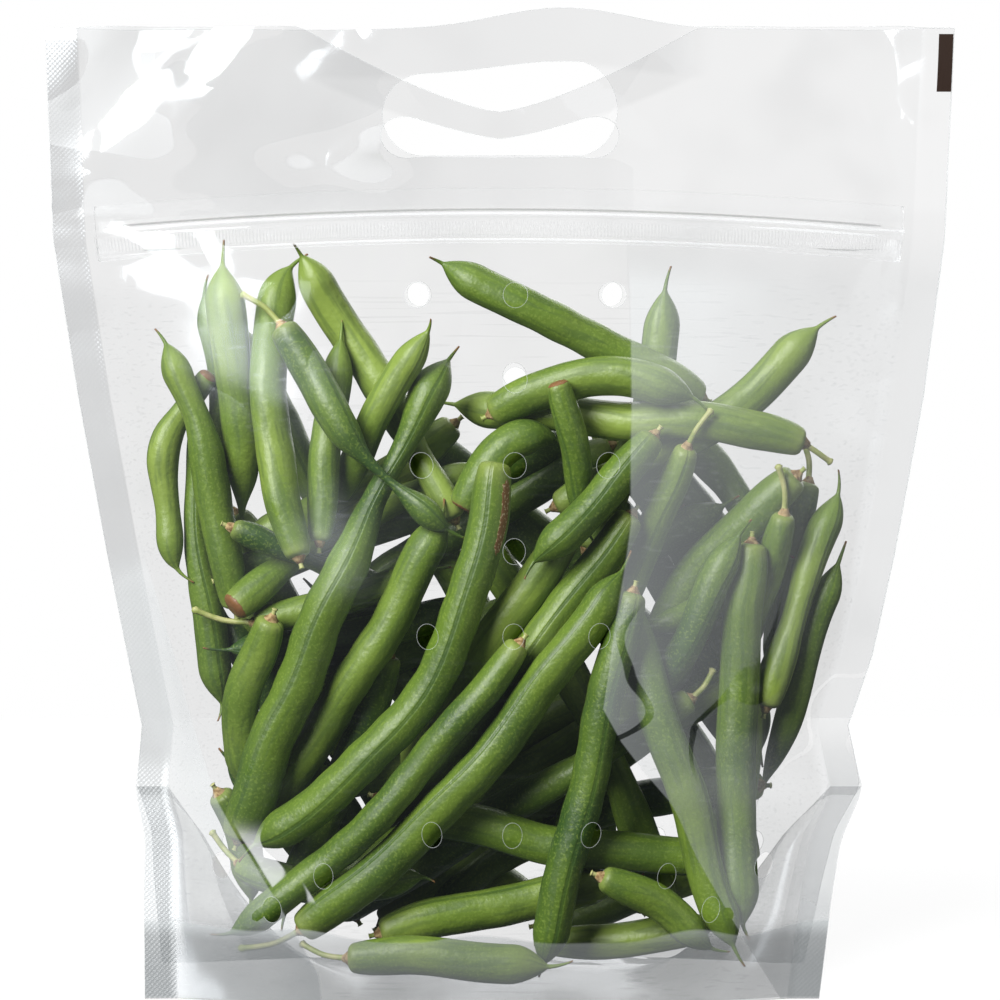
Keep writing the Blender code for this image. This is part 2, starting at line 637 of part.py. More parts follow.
def make_room(place, radii, pairs):
    """Moves beans that press into each other apart, each by half of what they share."""
    a, b, gap, far, girth = closest(place, radii, pairs)
    short = girth + BEAN_ROOM - far
    hit = short > 0
    shove = (gap[hit] / np.maximum(far[hit], 1e-9)[:, None]) * short[hit][:, None] * 0.5
    total = np.zeros_like(place)
    count = np.zeros(place.shape[:2])
    for (bean, at, share), sign in ((a, 1), (b, -1)):
        for step, weight in ((0, 1 - share[hit]), (1, share[hit])):
            slot = (bean[hit], at[hit] + step)
            np.add.at(total, slot, sign * shove * weight[:, None])
            np.add.at(count, slot, weight)
    return total / np.maximum(count, 1)[:, :, None]


def film_room(place):
    """How far each station stands from the front or back film, and the way off that film."""
    step = 0.5 * MM
    x, y, z = place[..., 0], place[..., 1], place[..., 2]

    def depth(at_x, at_z):
        return half_depth(at_x / (half_width(at_x, at_z) - SIDE_WELD), at_z)

    slope_x = (depth(x + step, z) - depth(x - step, z)) / (2 * step)
    slope_z = (depth(x, z + step) - depth(x, z - step)) / (2 * step)
    steep = np.sqrt(slope_x**2 + slope_z**2 + 1)
    away = np.stack((slope_x, -np.clip(y / step, -1, 1), slope_z), axis=-1) / steep[..., None]
    return (depth(x, z) - np.abs(y)) / steep, away


def floor_room(place):
    """How far each station stands above the gusset, and the way off it."""
    step = 0.5 * MM
    x, y, z = place[..., 0], place[..., 1], place[..., 2]
    slope_x = (floor_height(x + step, y) - floor_height(x - step, y)) / (2 * step)
    slope_y = (floor_height(x, y + step) - floor_height(x, y - step)) / (2 * step)
    steep = np.sqrt(slope_x**2 + slope_y**2 + 1)
    away = np.stack((-slope_x, -slope_y, np.ones_like(z)), axis=-1) / steep[..., None]
    return (z - floor_height(x, y)) / steep, away


def keep_inside(place, radii):
    """Moves stations that stand in the film back off it, square to the film."""
    for space in (film_room, floor_room):
        here, away = space(place)
        short = np.clip(radii + WALL_ROOM - here, 0, 4 * MM)
        place = place + away * short[..., None]
    place[..., 2] = np.minimum(place[..., 2], CEILING - radii)
    return place


def held_shape(rest, place):
    """Each bean's own drawn shape, turned and moved to lie as near as it can to where it is now."""
    rest_middle = rest.mean(axis=1, keepdims=True)
    middle = place.mean(axis=1, keepdims=True)
    a, b = rest - rest_middle, place - middle
    mixed = (a[:, :, :, None] * b[:, :, None, :]).sum(axis=1)
    left, _, right = np.linalg.svd(mixed)
    flip = np.ones((len(rest), 3))
    flip[:, 2] = np.sign(np.linalg.det(left) * np.linalg.det(right))
    turn = (left * flip[:, None, :]) @ right
    return (a[:, :, :, None] * turn[:, None, :, :]).sum(axis=2) + middle


def ease_apart(place, radii, loose):
    """Lets the loose beans shift and tip until none presses into another or into the film."""
    rest = place.copy()
    every_pair = pairs_of_spans(len(place), loose)
    for turn in range(EASING_ROUNDS):
        if turn % 6 == 0:
            pairs = near_pairs(place, every_pair, 16 * MM)
        calm = 1 - turn / EASING_ROUNDS
        place = place + PLACE_HOLD * calm * (rest - place) * (1, 0, 1)
        hold = LAST_SHAPE_HOLD + (SHAPE_HOLD - LAST_SHAPE_HOLD) * calm
        place = place + hold * (held_shape(rest, place) - place)
        for _ in range(2):
            place = place + make_room(place, radii, pairs)
            place = keep_inside(place, radii)
            place[loose:] = rest[loose:]
    return place


def trim_to_fit(place, radii, loose):
    """Where a loose bean still presses into film or bean, it is a little slimmer there."""
    least = 0.3 * MM
    fixed = radii[loose:].copy()
    for space in (film_room, floor_room):
        here, _ = space(place)
        radii = np.clip(here - WALL_ROOM * 0.6, least, radii)
    radii[loose:] = fixed
    every_pair = pairs_of_spans(len(place), loose)
    for _ in range(12):
        a, b, _, far, girth = closest(place, radii, near_pairs(place, every_pair, 16 * MM))
        short = girth + BEAN_ROOM * 0.8 - far
        hit = np.flatnonzero(short > 0)
        if not len(hit):
            break
        for (bean, at, _), other in ((a, b), (b, a)):
            for step in (0, 1):
                cut = short[hit] * 0.55
                slimmer = np.maximum(radii[bean[hit], at[hit] + step] - cut, least)
                np.minimum.at(radii, (bean[hit], at[hit] + step), slimmer)
        radii[loose:] = fixed
    return radii


def section_axes(line):
    """At each station two directions across the bean. The first lies in the plane of its bow."""
    ahead = np.gradient(line, axis=0)
    ahead /= np.linalg.norm(ahead, axis=1)[:, None]
    pod = line[2:]
    chord = pod[-1] - pod[0]
    bowed = pod[len(pod) // 2] - (pod[0] + pod[-1]) / 2
    flat_way = np.cross(chord, bowed)
    if np.linalg.norm(flat_way) < 1e-7:
        flat_way = np.array((0.0, 1.0, 0.0))
    in_plane = np.cross(ahead, flat_way / np.linalg.norm(flat_way))
    in_plane /= np.linalg.norm(in_plane, axis=1)[:, None]
    return in_plane, np.cross(ahead, in_plane)


def make_bean(name, line, radii, sides, material):
    """Skins one bean round its stations, with a point at each end."""
    wide, thin = section_axes(line)
    mesh = bmesh.new()
    rings = []
    for i in range(len(line)):
        ring = []
        for k in range(sides):
            a = 2 * math.pi * k / sides
            out = wide[i] * math.cos(a) + thin[i] * math.sin(a) * POD_FLATNESS
            ring.append(mesh.verts.new(line[i] + out * radii[i]))
        rings.append(ring)
    for first, second in zip(rings, rings[1:]):
        for k in range(sides):
            n = (k + 1) % sides
            mesh.faces.new((first[k], first[n], second[n], second[k]))
    ends = ((0, 1, rings[0]), (-1, -2, rings[-1]))
    for end, before, ring in ends:
        away = (line[end] - line[before]) / np.linalg.norm(line[end] - line[before])
        pole = mesh.verts.new(line[end] + away * radii[end] * 0.7)
        for k in range(sides):
            mesh.faces.new((ring[k], ring[(k + 1) % sides], pole))
    bmesh.ops.recalc_face_normals(mesh, faces=mesh.faces[:])
    bmesh.ops.triangulate(mesh, faces=mesh.faces[:])
    made = bpy.data.meshes.new(name)
    mesh.to_mesh(made)
    made.shade_smooth()
    return add_object(name, made, material)


def make_fused_beans(fused, material):
    """Joins the beans against the back film into one body, by one union."""
    parts = bpy.data.collections.new("parts to fuse")
    bpy.context.scene.collection.children.link(parts)
    first, *others = [make_bean("back_beans", line, radii, FUSED_SIDES, material) for line, radii in fused]
    for other in others:
        bpy.context.scene.collection.objects.unlink(other)
        parts.objects.link(other)
    join = first.modifiers.new("fuse", "BOOLEAN")
    join.operation = "UNION"
    join.operand_type = "COLLECTION"
    join.collection = parts
    join.solver = "MANIFOLD"
    bpy.context.view_layer.update()
    graph = bpy.context.evaluated_depsgraph_get()
    body = bmesh.new()
    body.from_mesh(bpy.data.meshes.new_from_object(first.evaluated_get(graph)))
    bmesh.ops.triangulate(body, faces=body.faces[:])
    for thing in (first, *others):
        bpy.data.objects.remove(thing)
    bpy.data.collections.remove(parts)
    made = bpy.data.meshes.new("back_beans")
    body.to_mesh(made)
    made.materials.clear()
    made.shade_smooth()
    add_object("back_beans", made, material)


def make_beans(material):
    """The loose beans make room round the fused ones, which stay where they are."""
    fused = criss_cross()
    place, radii = lay_out()
    loose = len(place)
    around = [resampled(line, girth) for line, girth in fused]
    place = np.concatenate((place, [line for line, _ in around]))
    radii = np.concatenate((radii, [girth for _, girth in around]))
    place = ease_apart(place, radii, loose)
    radii = trim_to_fit(place, radii, loose)
    for i in range(loose):
        make_bean(f"bean_{i + 1:02d}", place[i], radii[i], SIDES, material)
    make_fused_beans(fused, material)


def main():
    clear_scene()
    film = finish("clear_film", (0.93, 0.94, 0.94), 0.12, alpha=0.3)
    zip_plastic = finish("zip_plastic", (0.92, 0.93, 0.93), 0.2, alpha=0.6)
    pod = finish("green_pod", (0.16, 0.33, 0.05), 0.42)
    make_panels(film)
    make_gusset(film)
    make_zip(zip_plastic)
    make_beans(pod)


main()
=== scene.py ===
# %% [markdown]
# # A clear pouch of green beans
# A stand-up produce pouch is cut from clear film, welded down both sides, folded in at the bottom so
# that it can stand, and closed by a press-to-close zip. This one is full of loose green beans.
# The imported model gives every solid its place. Here each of them is dressed: the pods get necks,
# seams and beaks, and the film gets its welds, ripples, punched edges and shine.

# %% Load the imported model
import math
import random

import bmesh
import bpy
import numpy as np
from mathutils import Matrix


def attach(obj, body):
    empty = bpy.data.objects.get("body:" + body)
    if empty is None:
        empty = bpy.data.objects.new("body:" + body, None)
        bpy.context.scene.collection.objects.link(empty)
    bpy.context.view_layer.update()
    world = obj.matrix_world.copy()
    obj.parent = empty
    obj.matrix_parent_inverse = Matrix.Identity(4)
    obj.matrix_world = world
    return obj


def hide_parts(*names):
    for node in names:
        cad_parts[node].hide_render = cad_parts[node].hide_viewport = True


MM = 0.001
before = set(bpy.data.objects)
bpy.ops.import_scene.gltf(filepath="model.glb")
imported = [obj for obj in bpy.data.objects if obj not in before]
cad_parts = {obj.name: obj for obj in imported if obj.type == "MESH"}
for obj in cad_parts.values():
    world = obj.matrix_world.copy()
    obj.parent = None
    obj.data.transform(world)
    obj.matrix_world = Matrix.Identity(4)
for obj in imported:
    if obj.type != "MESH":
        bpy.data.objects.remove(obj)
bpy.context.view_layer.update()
bean_names = sorted(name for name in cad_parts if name.startswith("bean_"))

# %% [markdown]
# ## The camera and the light
# The photograph is a plain product picture: a long lens, a little above the middle of the pouch,
# white behind it and white under it. Wide soft lamps are what a clear film needs, because film is
# seen by what it mirrors. One lamp stands high at the left, one stands at the right, a third
# hangs overhead and the last one lights the back.

# %% Camera
scene = bpy.context.scene
LOOK_AT = np.array((0.0, 0.0, 0.1238))
CAMERA_LIFT = math.radians(4)
FRAME_WIDTH = 0.2545
LENS, SENSOR = 120, 36


def new_object(name, data):
    """Puts a new object with that mesh, lamp or camera in the scene."""
    thing = bpy.data.objects.new(name, data)
    scene.collection.objects.link(thing)
    return thing


camera_data = bpy.data.cameras.new("camera")
camera_data.lens = LENS
camera_data.sensor_width = SENSOR
camera = new_object("camera", camera_data)
camera_far = FRAME_WIDTH * LENS / SENSOR
camera.location = LOOK_AT + camera_far * np.array((0, -math.cos(CAMERA_LIFT), math.sin(CAMERA_LIFT)))
camera.rotation_euler = (math.pi / 2 - CAMERA_LIFT, 0, 0)
scene.camera = camera
print(f"the camera stands {camera_far:.2f} m away")


# %% Lamps, floor and surroundings
def aim(thing, place, target):
    """Puts a lamp at a place and turns it to a target."""
    thing.location = place
    away = np.array(place, float) - np.array(target, float)
    flat = math.hypot(away[0], away[1])
    thing.rotation_euler = (math.atan2(flat, away[2]), 0, math.atan2(away[0], -away[1]))


def soft_lamp(name, place, size, watts):
    lamp = bpy.data.lights.new(name, "AREA")
    lamp.shape = "RECTANGLE"
    lamp.size, lamp.size_y = size
    lamp.energy = watts
    aim(new_object(name, lamp), place, LOOK_AT)


soft_lamp("lamp_left", (-0.65, -0.85, 0.75), (0.65, 0.85), 27)
soft_lamp("lamp_right", (0.95, -0.55, 0.35), (0.7, 1.2), 2.5)
soft_lamp("lamp_above", (0.0, 0.1, 1.1), (0.9, 0.9), 3.5)
soft_lamp("lamp_behind", (0.35, 1.0, 0.6), (0.9, 0.9), 9)
print(f"{len(bpy.data.lights)} soft lamps")

# The backdrop is white, the room gives almost no light, and the film mirrors its dim far side
BACKDROP = (1, 1, 1, 1)
ROOM = (0.016, 0.018, 0.020, 1)
FAR_SIDE = (0.07, 0.08, 0.09, 1)
surroundings = bpy.data.worlds.new("surroundings")
surroundings.use_nodes = True
air = surroundings.node_tree
ray = air.nodes.new("ShaderNodeLightPath")
seen = ROOM
for kind, colour in (("Is Glossy Ray", FAR_SIDE), ("Is Camera Ray", BACKDROP)):
    choice = air.nodes.new("ShaderNodeMix")
    choice.data_type = "RGBA"
    choice.inputs[7].default_value = colour
    air.links.new(ray.outputs[kind], choice.inputs[0])
    if seen is ROOM:
        choice.inputs[6].default_value = ROOM
    else:
        air.links.new(seen, choice.inputs[6])
    seen = choice.outputs[2]
air.links.new(seen, air.nodes["Background"].inputs["Color"])
scene.world = surroundings
scene.view_settings.view_transform = "Standard"

# A look through the pouch passes many layers of film, but light needs few bounces to fill it
scene.cycles.transparent_max_bounces = 24
scene.cycles.diffuse_bounces = scene.cycles.glossy_bounces = 2

FLOOR_REACH = 0.5
floor_mesh = bpy.data.meshes.new("floor")
floor_corners = [(-1, -1), (1, -1), (1, 1), (-1, 1)]
floor_points = [(x * FLOOR_REACH, y * FLOOR_REACH, 0) for x, y in floor_corners]
floor_mesh.from_pydata(floor_points, [], [(0, 1, 2, 3)])
floor = new_object("floor", floor_mesh)
floor.visible_glossy = floor.visible_diffuse = False

# %% [markdown]
# ## Small tools for materials
# A material in Blender is a net of nodes. These helpers add one node in one line, so that each
# finish below reads as a recipe: what varies, at what scale, and what it drives.

# %% Node helpers
PLAIN_SUMS = {
    "ADD": lambda a, b, c: a + b,
    "SUBTRACT": lambda a, b, c: a - b,
    "MULTIPLY": lambda a, b, c: a * b,
    "MULTIPLY_ADD": lambda a, b, c: a * b + c,
    "MINIMUM": lambda a, b, c: min(a, b),
}


class Recipe:
    """One material and a short way to add nodes to it."""

    def __init__(self, name):
        self.material = bpy.data.materials.new(name)
        self.material.use_nodes = True
        self.tree = self.material.node_tree
        self.shader = self.tree.nodes["Principled BSDF"]

    def node(self, kind, **settings):
        made = self.tree.nodes.new(kind)
        for key, value in settings.items():
            setattr(made, key, value)
        return made

    def join(self, source, target):
        if isinstance(source, (int, float)):
            target.default_value = source
        elif isinstance(source, tuple):
            target.default_value = (*source, 1) if len(source) == 3 else source
        else:
            self.tree.links.new(source, target)

    def place(self):
        """Where a point is on the object, in metres."""
        return self.node("ShaderNodeTexCoord").outputs["Object"]

    def height(self):
        parts = self.node("ShaderNodeSeparateXYZ")
        self.join(self.place(), parts.inputs[0])
        return parts.outputs["Z"]

    def stretched(self, scale):
        mapping = self.node("ShaderNodeMapping")
        mapping.inputs["Scale"].default_value = scale
        self.join(self.place(), mapping.inputs["Vector"])
        return mapping.outputs["Vector"]

    def noise(self, scale, detail=2, where=None):
        made = self.node("ShaderNodeTexNoise")
        made.inputs["Scale"].default_value = scale
        made.inputs["Detail"].default_value = detail
        self.join(where or self.place(), made.inputs["Vector"])
        return made.outputs["Fac"]

    def facets(self, scale):
        """Sharp creases, as crumpled film has, with smooth slopes between them."""
        return self.off_middle(self.noise(scale, 0))

    def math(self, operation, first, second=0.0, third=0.0):
        """One sum. Plain numbers are worked out at once, so they need no node."""
        values = (first, second, third)
        if all(isinstance(value, (int, float)) for value in values):
            return PLAIN_SUMS[operation](*values)
        made = self.node("ShaderNodeMath", operation=operation)
        for value, socket in zip(values, made.inputs):
            self.join(value, socket)
        return made.outputs["Value"]

    def times(self, first, *others):
        for value in others:
            first = self.math("MULTIPLY", first, value)
        return first

    def plus(self, first, *others):
        for value in others:
            first = self.math("ADD", first, value)
        return first

    def minus(self, first, second):
        return self.math("SUBTRACT", first, second)

    def off_middle(self, value):
        """How far a value is from one half."""
        return self.math("ABSOLUTE", self.minus(value, 0.5))

    def ramp(self, value, low, high, start=0.0, end=1.0):
        """Start below low, end above high, and smooth between them."""
        made = self.node("ShaderNodeMapRange", interpolation_type="SMOOTHSTEP")
        self.join(value, made.inputs["Value"])
        for name, number in (("From Min", low), ("From Max", high), ("To Min", start), ("To Max", end)):
            self.join(number, made.inputs[name])
        return made.outputs["Result"]

    def blend(self, share, first, second):
        """A colour that goes from the first to the second as share goes from 0 to 1."""
        made = self.node("ShaderNodeMix", data_type="RGBA")
        self.join(share, made.inputs[0])
        self.join(first, made.inputs[6])
        self.join(second, made.inputs[7])
        return made.outputs[2]

    def saved(self, name):
        """A value that the mesh keeps for each of its points."""
        return self.node("ShaderNodeAttribute", attribute_name=name).outputs["Fac"]

    def drawn(self, value, points):
        """A drawn line: what it gives at each value, both from 0 to 1."""
        made = self.node("ShaderNodeFloatCurve")
        line = made.mapping.curves[0].points
        for _ in points[2:]:
            line.new(0.5, 0.5)
        for knot, (at, height) in zip(line, sorted(points)):
            knot.location = (at, height)
            knot.handle_type = "VECTOR"
        made.mapping.update()
        self.join(value, made.inputs["Value"])
        return made.outputs["Value"]

    def unwrapped(self):
        parts = self.node("ShaderNodeSeparateXYZ")
        self.join(self.node("ShaderNodeUVMap", uv_map="cut").outputs["UV"], parts.inputs[0])
        return parts.outputs["X"], parts.outputs["Y"]

    def bump(self, height, distance, strength=1.0):
        made = self.node("ShaderNodeBump")
        made.inputs["Distance"].default_value = distance
        made.inputs["Strength"].default_value = strength
        self.join(height, made.inputs["Height"])
        self.join(made.outputs["Normal"], self.shader.inputs["Normal"])

    def give(self, **values):
        for key, value in values.items():
            self.join(value, self.shader.inputs[key.replace("_", " ")])
        print(f"{self.material.name}: {len(self.tree.nodes)} nodes")
        return self.material


# The floor glows by itself, so it is as white as the backdrop and takes only a faint shadow
FLOOR_GREY = (0.12, 0.12, 0.12)
FLOOR_GLOW = 0.83
floor_paint = Recipe("white_floor").give(
    Base_Color=FLOOR_GREY, Roughness=0.9, Emission_Color=(1.0, 1.0, 1.0), Emission_Strength=FLOOR_GLOW
)
floor_mesh.materials.append(floor_paint)

# %% [markdown]
# ## Pod skin
# A fresh pod is yellow green with a fine pale mottling, a soft sheen and a thin seam down each
# edge. It could be one green, but then a heap of pods turns into a heap of plastic. Here the green
# drifts over a few centimetres, the mottling is finer than a millimetre, dark streaks run
# lengthwise, each pod has its own tone, and the seam and the two ends follow the pod's own
# unwrapped length and girth.

# %% Pod skin recipe
DEEP_GREEN = (0.030, 0.076, 0.011)
MID_GREEN = (0.118, 0.198, 0.019)
PALE_GREEN = (0.260, 0.360, 0.060)
NECK_GREEN = (0.300, 0.370, 0.090)
CORK = (0.580, 0.450, 0.270)
RUST = (0.230, 0.105, 0.035)

DRIFT_SCALE, MOTTLING_SCALE, GRAIN_SCALE, WEAR_SCALE = 38, 1500, 600, 900
DRIFT, MOTTLING, STREAKS, SEAM_DARKNESS, NECK_PALENESS = 0.55, 0.32, 0.4, 0.5, 0.6
STREAKS_ROUND, STREAKS_ALONG, TONE_STEP = 16.0, 5.0, 40.0

pod = Recipe("pod_skin")
girth, length = pod.unwrapped()
drift = pod.ramp(pod.noise(DRIFT_SCALE, 1), 0.3, 0.7)
tone = pod.plus(pod.times(drift, DRIFT), pod.saved("tone"))
green = pod.blend(pod.ramp(tone, 0.0, 0.75), DEEP_GREEN, MID_GREEN)
green = pod.blend(pod.ramp(tone, 0.7, 1.5), green, PALE_GREEN)
mottling = pod.ramp(pod.noise(MOTTLING_SCALE, 1), 0.54, 0.66)
green = pod.blend(pod.times(mottling, MOTTLING), green, PALE_GREEN)

# Streaks run along the pod, because their place is the unwrapped one, squeezed round the girth
along_pod = pod.node("ShaderNodeCombineXYZ")
streak_place = ((girth, STREAKS_ROUND), (length, STREAKS_ALONG), (pod.saved("tone"), TONE_STEP))
for (value, scale), socket in zip(streak_place, along_pod.inputs):
    pod.join(pod.times(value, scale), socket)
streaks = pod.ramp(pod.noise(1, 2, along_pod.outputs[0]), 0.46, 0.66)
green = pod.blend(pod.times(streaks, STREAKS), green, DEEP_GREEN)

seam = pod.ramp(pod.off_middle(girth), 0.008, 0.022, 1, 0)
green = pod.blend(pod.times(seam, SEAM_DARKNESS), green, DEEP_GREEN)
green = pod.blend(pod.ramp(length, 0.0, 0.07, NECK_PALENESS, 0), green, NECK_GREEN)
green = pod.blend(pod.ramp(length, 0.965, 0.995), green, RUST)

# Where the mesh says that the skin is corky, its edge is made ragged by a little noise
worn = pod.plus(pod.saved("cork"), pod.times(pod.noise(WEAR_SCALE, 1), 0.5))
worn = pod.ramp(worn, 0.72, 0.82)
scar = pod.blend(mottling, RUST, CORK)
green = pod.blend(worn, green, pod.blend(pod.ramp(length, 0.025, 0.035), RUST, scar))
relief = pod.plus(
    pod.times(pod.noise(GRAIN_SCALE, 2), 0.8), pod.times(seam, -0.4), pod.times(worn, 0.5)
)
pod.bump(relief, 0.4 * MM, 0.6)
pod_skin = pod.give(Base_Color=green, Roughness=pod.ramp(streaks, 0, 1, 0.42, 0.52))

# %% [markdown]
# ## Stalk and calyx
# Where the flower was, a pod keeps a small dry collar, the calyx, and above it the stalk it hung
# from. The stalk is pale and still fresh. The collar has gone tan and curls. Two short recipes are
# enough, because both are only a few millimetres across.

# %% Stalk and calyx recipes
STALK_GREENS = ((0.300, 0.360, 0.085), (0.500, 0.500, 0.200))
CALYX_BROWNS = ((0.190, 0.105, 0.035), (0.500, 0.360, 0.170))


def dry_finish(name, colours, scale, grain, detail, relief, roughness):
    """Two colours that blotch into each other over a grainy surface."""
    recipe = Recipe(name)
    colour = recipe.blend(recipe.ramp(recipe.noise(scale, detail), 0.35, 0.65), *colours)
    recipe.bump(recipe.noise(grain, detail), *relief)
    return recipe.give(Base_Color=colour, Roughness=roughness)


fresh_stalk = dry_finish("fresh_stalk", STALK_GREENS, 300, 900, 2, (0.2 * MM, 0.4), 0.5)
dry_calyx = dry_finish("dry_calyx", CALYX_BROWNS, 700, 1500, 3, (0.3 * MM, 0.8), 0.85)

# %% [markdown]
# ## The filled shape of the pouch
# The film is cut flat and takes its shape from what fills it, so it is described in two steps: a
# place on the flat cut, and where that place has come to lie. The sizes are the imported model's.
# Film cannot stretch, so what the belly takes in depth the outline gives up in width.

# %% Sizes of the flat cut and the filled pouch
FLAT_HALF_WIDTH = 114.5 * MM
FLAT_HEIGHT = 243 * MM
SIDE_WELD = 8 * MM
INNER_HALF_WIDTH = FLAT_HALF_WIDTH - SIDE_WELD
FILM_MIDDLE = 0.3 * MM
PANEL_GAP = 0.3 * MM
OUTLINE_HEIGHTS = np.array((0, 25, 37.5, 50, 66, 84, 110, 150, 190, 243)) * MM
LEFT_EDGE = np.array((89, 90, 90, 93, 91.5, 95, 100, 107, 113, 114.5)) * MM
RIGHT_EDGE = np.array((80, 84, 86.5, 92.5, 89, 95, 100.5, 107.5, 112.5, 114.5)) * MM
BELLY_HEIGHTS = np.array((0, 50, 100, 150, 176, 187, 193, 206, 243)) * MM
BELLY_HALF_DEPTHS = np.array((30, 31, 28.5, 21, 12.5, 7, 2.8, 2.8, 5)) * MM
BELLY_POWER_HEIGHTS = np.array((0, 150, 187, 193, 243)) * MM
BELLY_POWERS = np.array((2.6, 3, 5, 24, 24))
LEG_TOP = 57 * MM
LEG_SPREAD = 21 * MM
GUSSET_RISE = 50 * MM
GUSSET_FLAT_SHARE = 0.35
GUSSET_GAP = 0.8 * MM
SLUMP_BASE = 211 * MM
FRONT_SLUMP = 22 * MM
FRONT_SLUMP_REACH = 50 * MM
FRONT_SLUMP_FORWARD = 15 * MM
SLUMP_ONSET, SLUMP_SIDES = 0.6, 1.35
BACK_LIFT = 5.5 * MM
BACK_LIFT_CENTRE = 16 * MM
BACK_LIFT_REACH = 24 * MM


# %% From the flat cut to the filled pouch
def half_width(x, height):
    left = np.interp(height, OUTLINE_HEIGHTS, LEFT_EDGE)
    right = np.interp(height, OUTLINE_HEIGHTS, RIGHT_EDGE)
    return np.where(x < 0, left, right)


def half_depth(share, height):
    """From the middle plane to the film, share being 0 at the middle and 1 at the weld."""
    leg = PANEL_GAP / 2 + LEG_SPREAD * np.clip(1 - height / LEG_TOP, 0, 1)
    belly = np.maximum(np.interp(height, BELLY_HEIGHTS, BELLY_HALF_DEPTHS) - leg, 0)
    power = np.interp(height, BELLY_POWER_HEIGHTS, BELLY_POWERS)
    return leg + belly * (1 - np.clip(np.abs(share), 0, 1) ** power)


def across(flat_x, height):
    width = half_width(flat_x, height)
    inside = flat_x * (width - SIDE_WELD) / INNER_HALF_WIDTH
    in_weld = np.sign(flat_x) * (width - (FLAT_HALF_WIDTH - np.abs(flat_x)))
    return np.where(np.abs(flat_x) <= INNER_HALF_WIDTH, inside, in_weld)


# %% [markdown]
# ## Reading a bean's line from the model
# Each packed bean is a closed skin of six-sided rings with a point at both ends. Walking from one
# end point over the edges gives the rings one after another. Their middles are the bean's line and
# their reach is its girth, so the dressed bean lies exactly where the solid one does.

# %% Rings of a packed bean
RING_SIDES = 6


def walk(start):
    """Layers of points, each one edge further from the start."""
    layers, seen = [[start]], {start.index}
    while layers[-1]:
        edges = [edge for point in layers[-1] for edge in point.link_edges]
        near = {other.index: other for edge in edges for other in edge.verts}
        fresh = [near[i] for i in sorted(near) if i not in seen]
        seen.update(point.index for point in fresh)
        layers.append(fresh)
    return layers[:-1]


def line_of(node):
    """The middle, the girth and one sideways direction of each ring, from the stem end to the beak."""
    mesh = bmesh.new()
    mesh.from_mesh(node.data)
    bmesh.ops.remove_doubles(mesh, verts=mesh.verts[:], dist=1e-6)
    mesh.verts.index_update()
    rings = None
    for start in mesh.verts:
        layers = walk(start) if len(start.link_edges) == RING_SIDES else [[]]
        sizes = [len(layer) for layer in layers]
        if sizes[0] == sizes[-1] == 1 and set(sizes[1:-1]) == {RING_SIDES}:
            rings = [np.array([point.co[:] for point in layer]) for layer in layers[1:-1]]
            break
    mesh.free()
    middles = np.array([ring.mean(axis=0) for ring in rings])
    reaches = [np.linalg.norm(ring - middle, axis=1) for ring, middle in zip(rings, middles)]
    girths = np.array([reach.max() for reach in reaches])
    furthest = np.array([ring[reach.argmax()] for ring, reach in zip(rings, reaches)])
    sideways = furthest - middles
    if girths[0] < girths[-1]:
        middles, girths, sideways = middles[::-1], girths[::-1], sideways[::-1]
    return middles, girths, sideways


lines = {name: line_of(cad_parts[name]) for name in bean_names}
pod_lengths = [np.linalg.norm(np.diff(line[2:], axis=0), axis=1).sum() for line, _, _ in lines.values()]
print(f"loose pods from {min(pod_lengths) / MM:.0f} to {max(pod_lengths) / MM:.0f} mm long")

# %% [markdown]
# ## The beans against the back film
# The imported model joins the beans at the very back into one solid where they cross, so their rings
# can't be walked. They were laid by a rule, though, and the same rule with the same seed lays them
# again here: two families that lean opposite ways, each as deep in the pouch as the film lets it.

# %% Lay the crossing beans again
FAMILIES = ((math.radians(-55), 12 * MM, 12, 0), (math.radians(35), 14.5 * MM, 10, 6.8 * MM))
HEAP_MIDDLE = np.array((-2, 77)) * MM
HEAP_HALF = np.array((70, 66)) * MM
HEAP_POWER = 4
CROSSING_LENGTHS = (104 * MM, 132 * MM)
CROSSING_GIRTHS = (4.8 * MM, 5.3 * MM)
CROSSING_BOW = 0.09
LEAN_SPREAD = math.radians(13)
CROSSING_ROOM = 2.2 * MM
CROSSING_STATIONS = np.array((0, 0.06, 0.18, 0.45, 0.7, 0.88, 1))
CROSSING_SEED = 3


def crossing_beans():
    """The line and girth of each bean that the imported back_beans solid joins."""
    draw = random.Random(CROSSING_SEED)
    beans_laid = []
    for family_lean, spacing, count, depth in FAMILIES:
        for i in range(count):
            row = i - (count - 1) / 2 + draw.uniform(-0.2, 0.2)
            sideways = np.array((-math.sin(family_lean), math.cos(family_lean)))
            middle = HEAP_MIDDLE + sideways * spacing * row
            lean = family_lean + draw.uniform(-LEAN_SPREAD, LEAN_SPREAD)
            along = np.array((math.cos(lean), math.sin(lean)))
            beside = np.array((-along[1], along[0]))
            reach = np.arange(-120, 121) * MM
            off_middle = (middle + reach[:, None] * along - HEAP_MIDDLE) / HEAP_HALF
            inside = reach[(np.abs(off_middle) ** HEAP_POWER).sum(axis=1) < 1]
            length = min(draw.uniform(*CROSSING_LENGTHS), inside[-1] - inside[0])
            start = draw.uniform(inside[0], inside[-1] - length)
            bow = draw.uniform(-CROSSING_BOW, CROSSING_BOW) * length
            girth = draw.uniform(*CROSSING_GIRTHS)
            turned = draw.random() < 0.5
            share = 1 - CROSSING_STATIONS if turned else CROSSING_STATIONS
            flat = middle + along * (start + share * length)[:, None]
            flat = flat + beside * (bow * 4 * share * (1 - share))[:, None]
            x, z = flat[:, 0], flat[:, 1]
            behind = half_depth(x / (half_width(x, z) - SIDE_WELD), z)
            line = np.stack((x, behind - CROSSING_ROOM - girth - depth, z), axis=1)
            beans_laid.append((line, girth))
    return beans_laid


crossing = crossing_beans()
print(f"{len(crossing)} crossing beans")

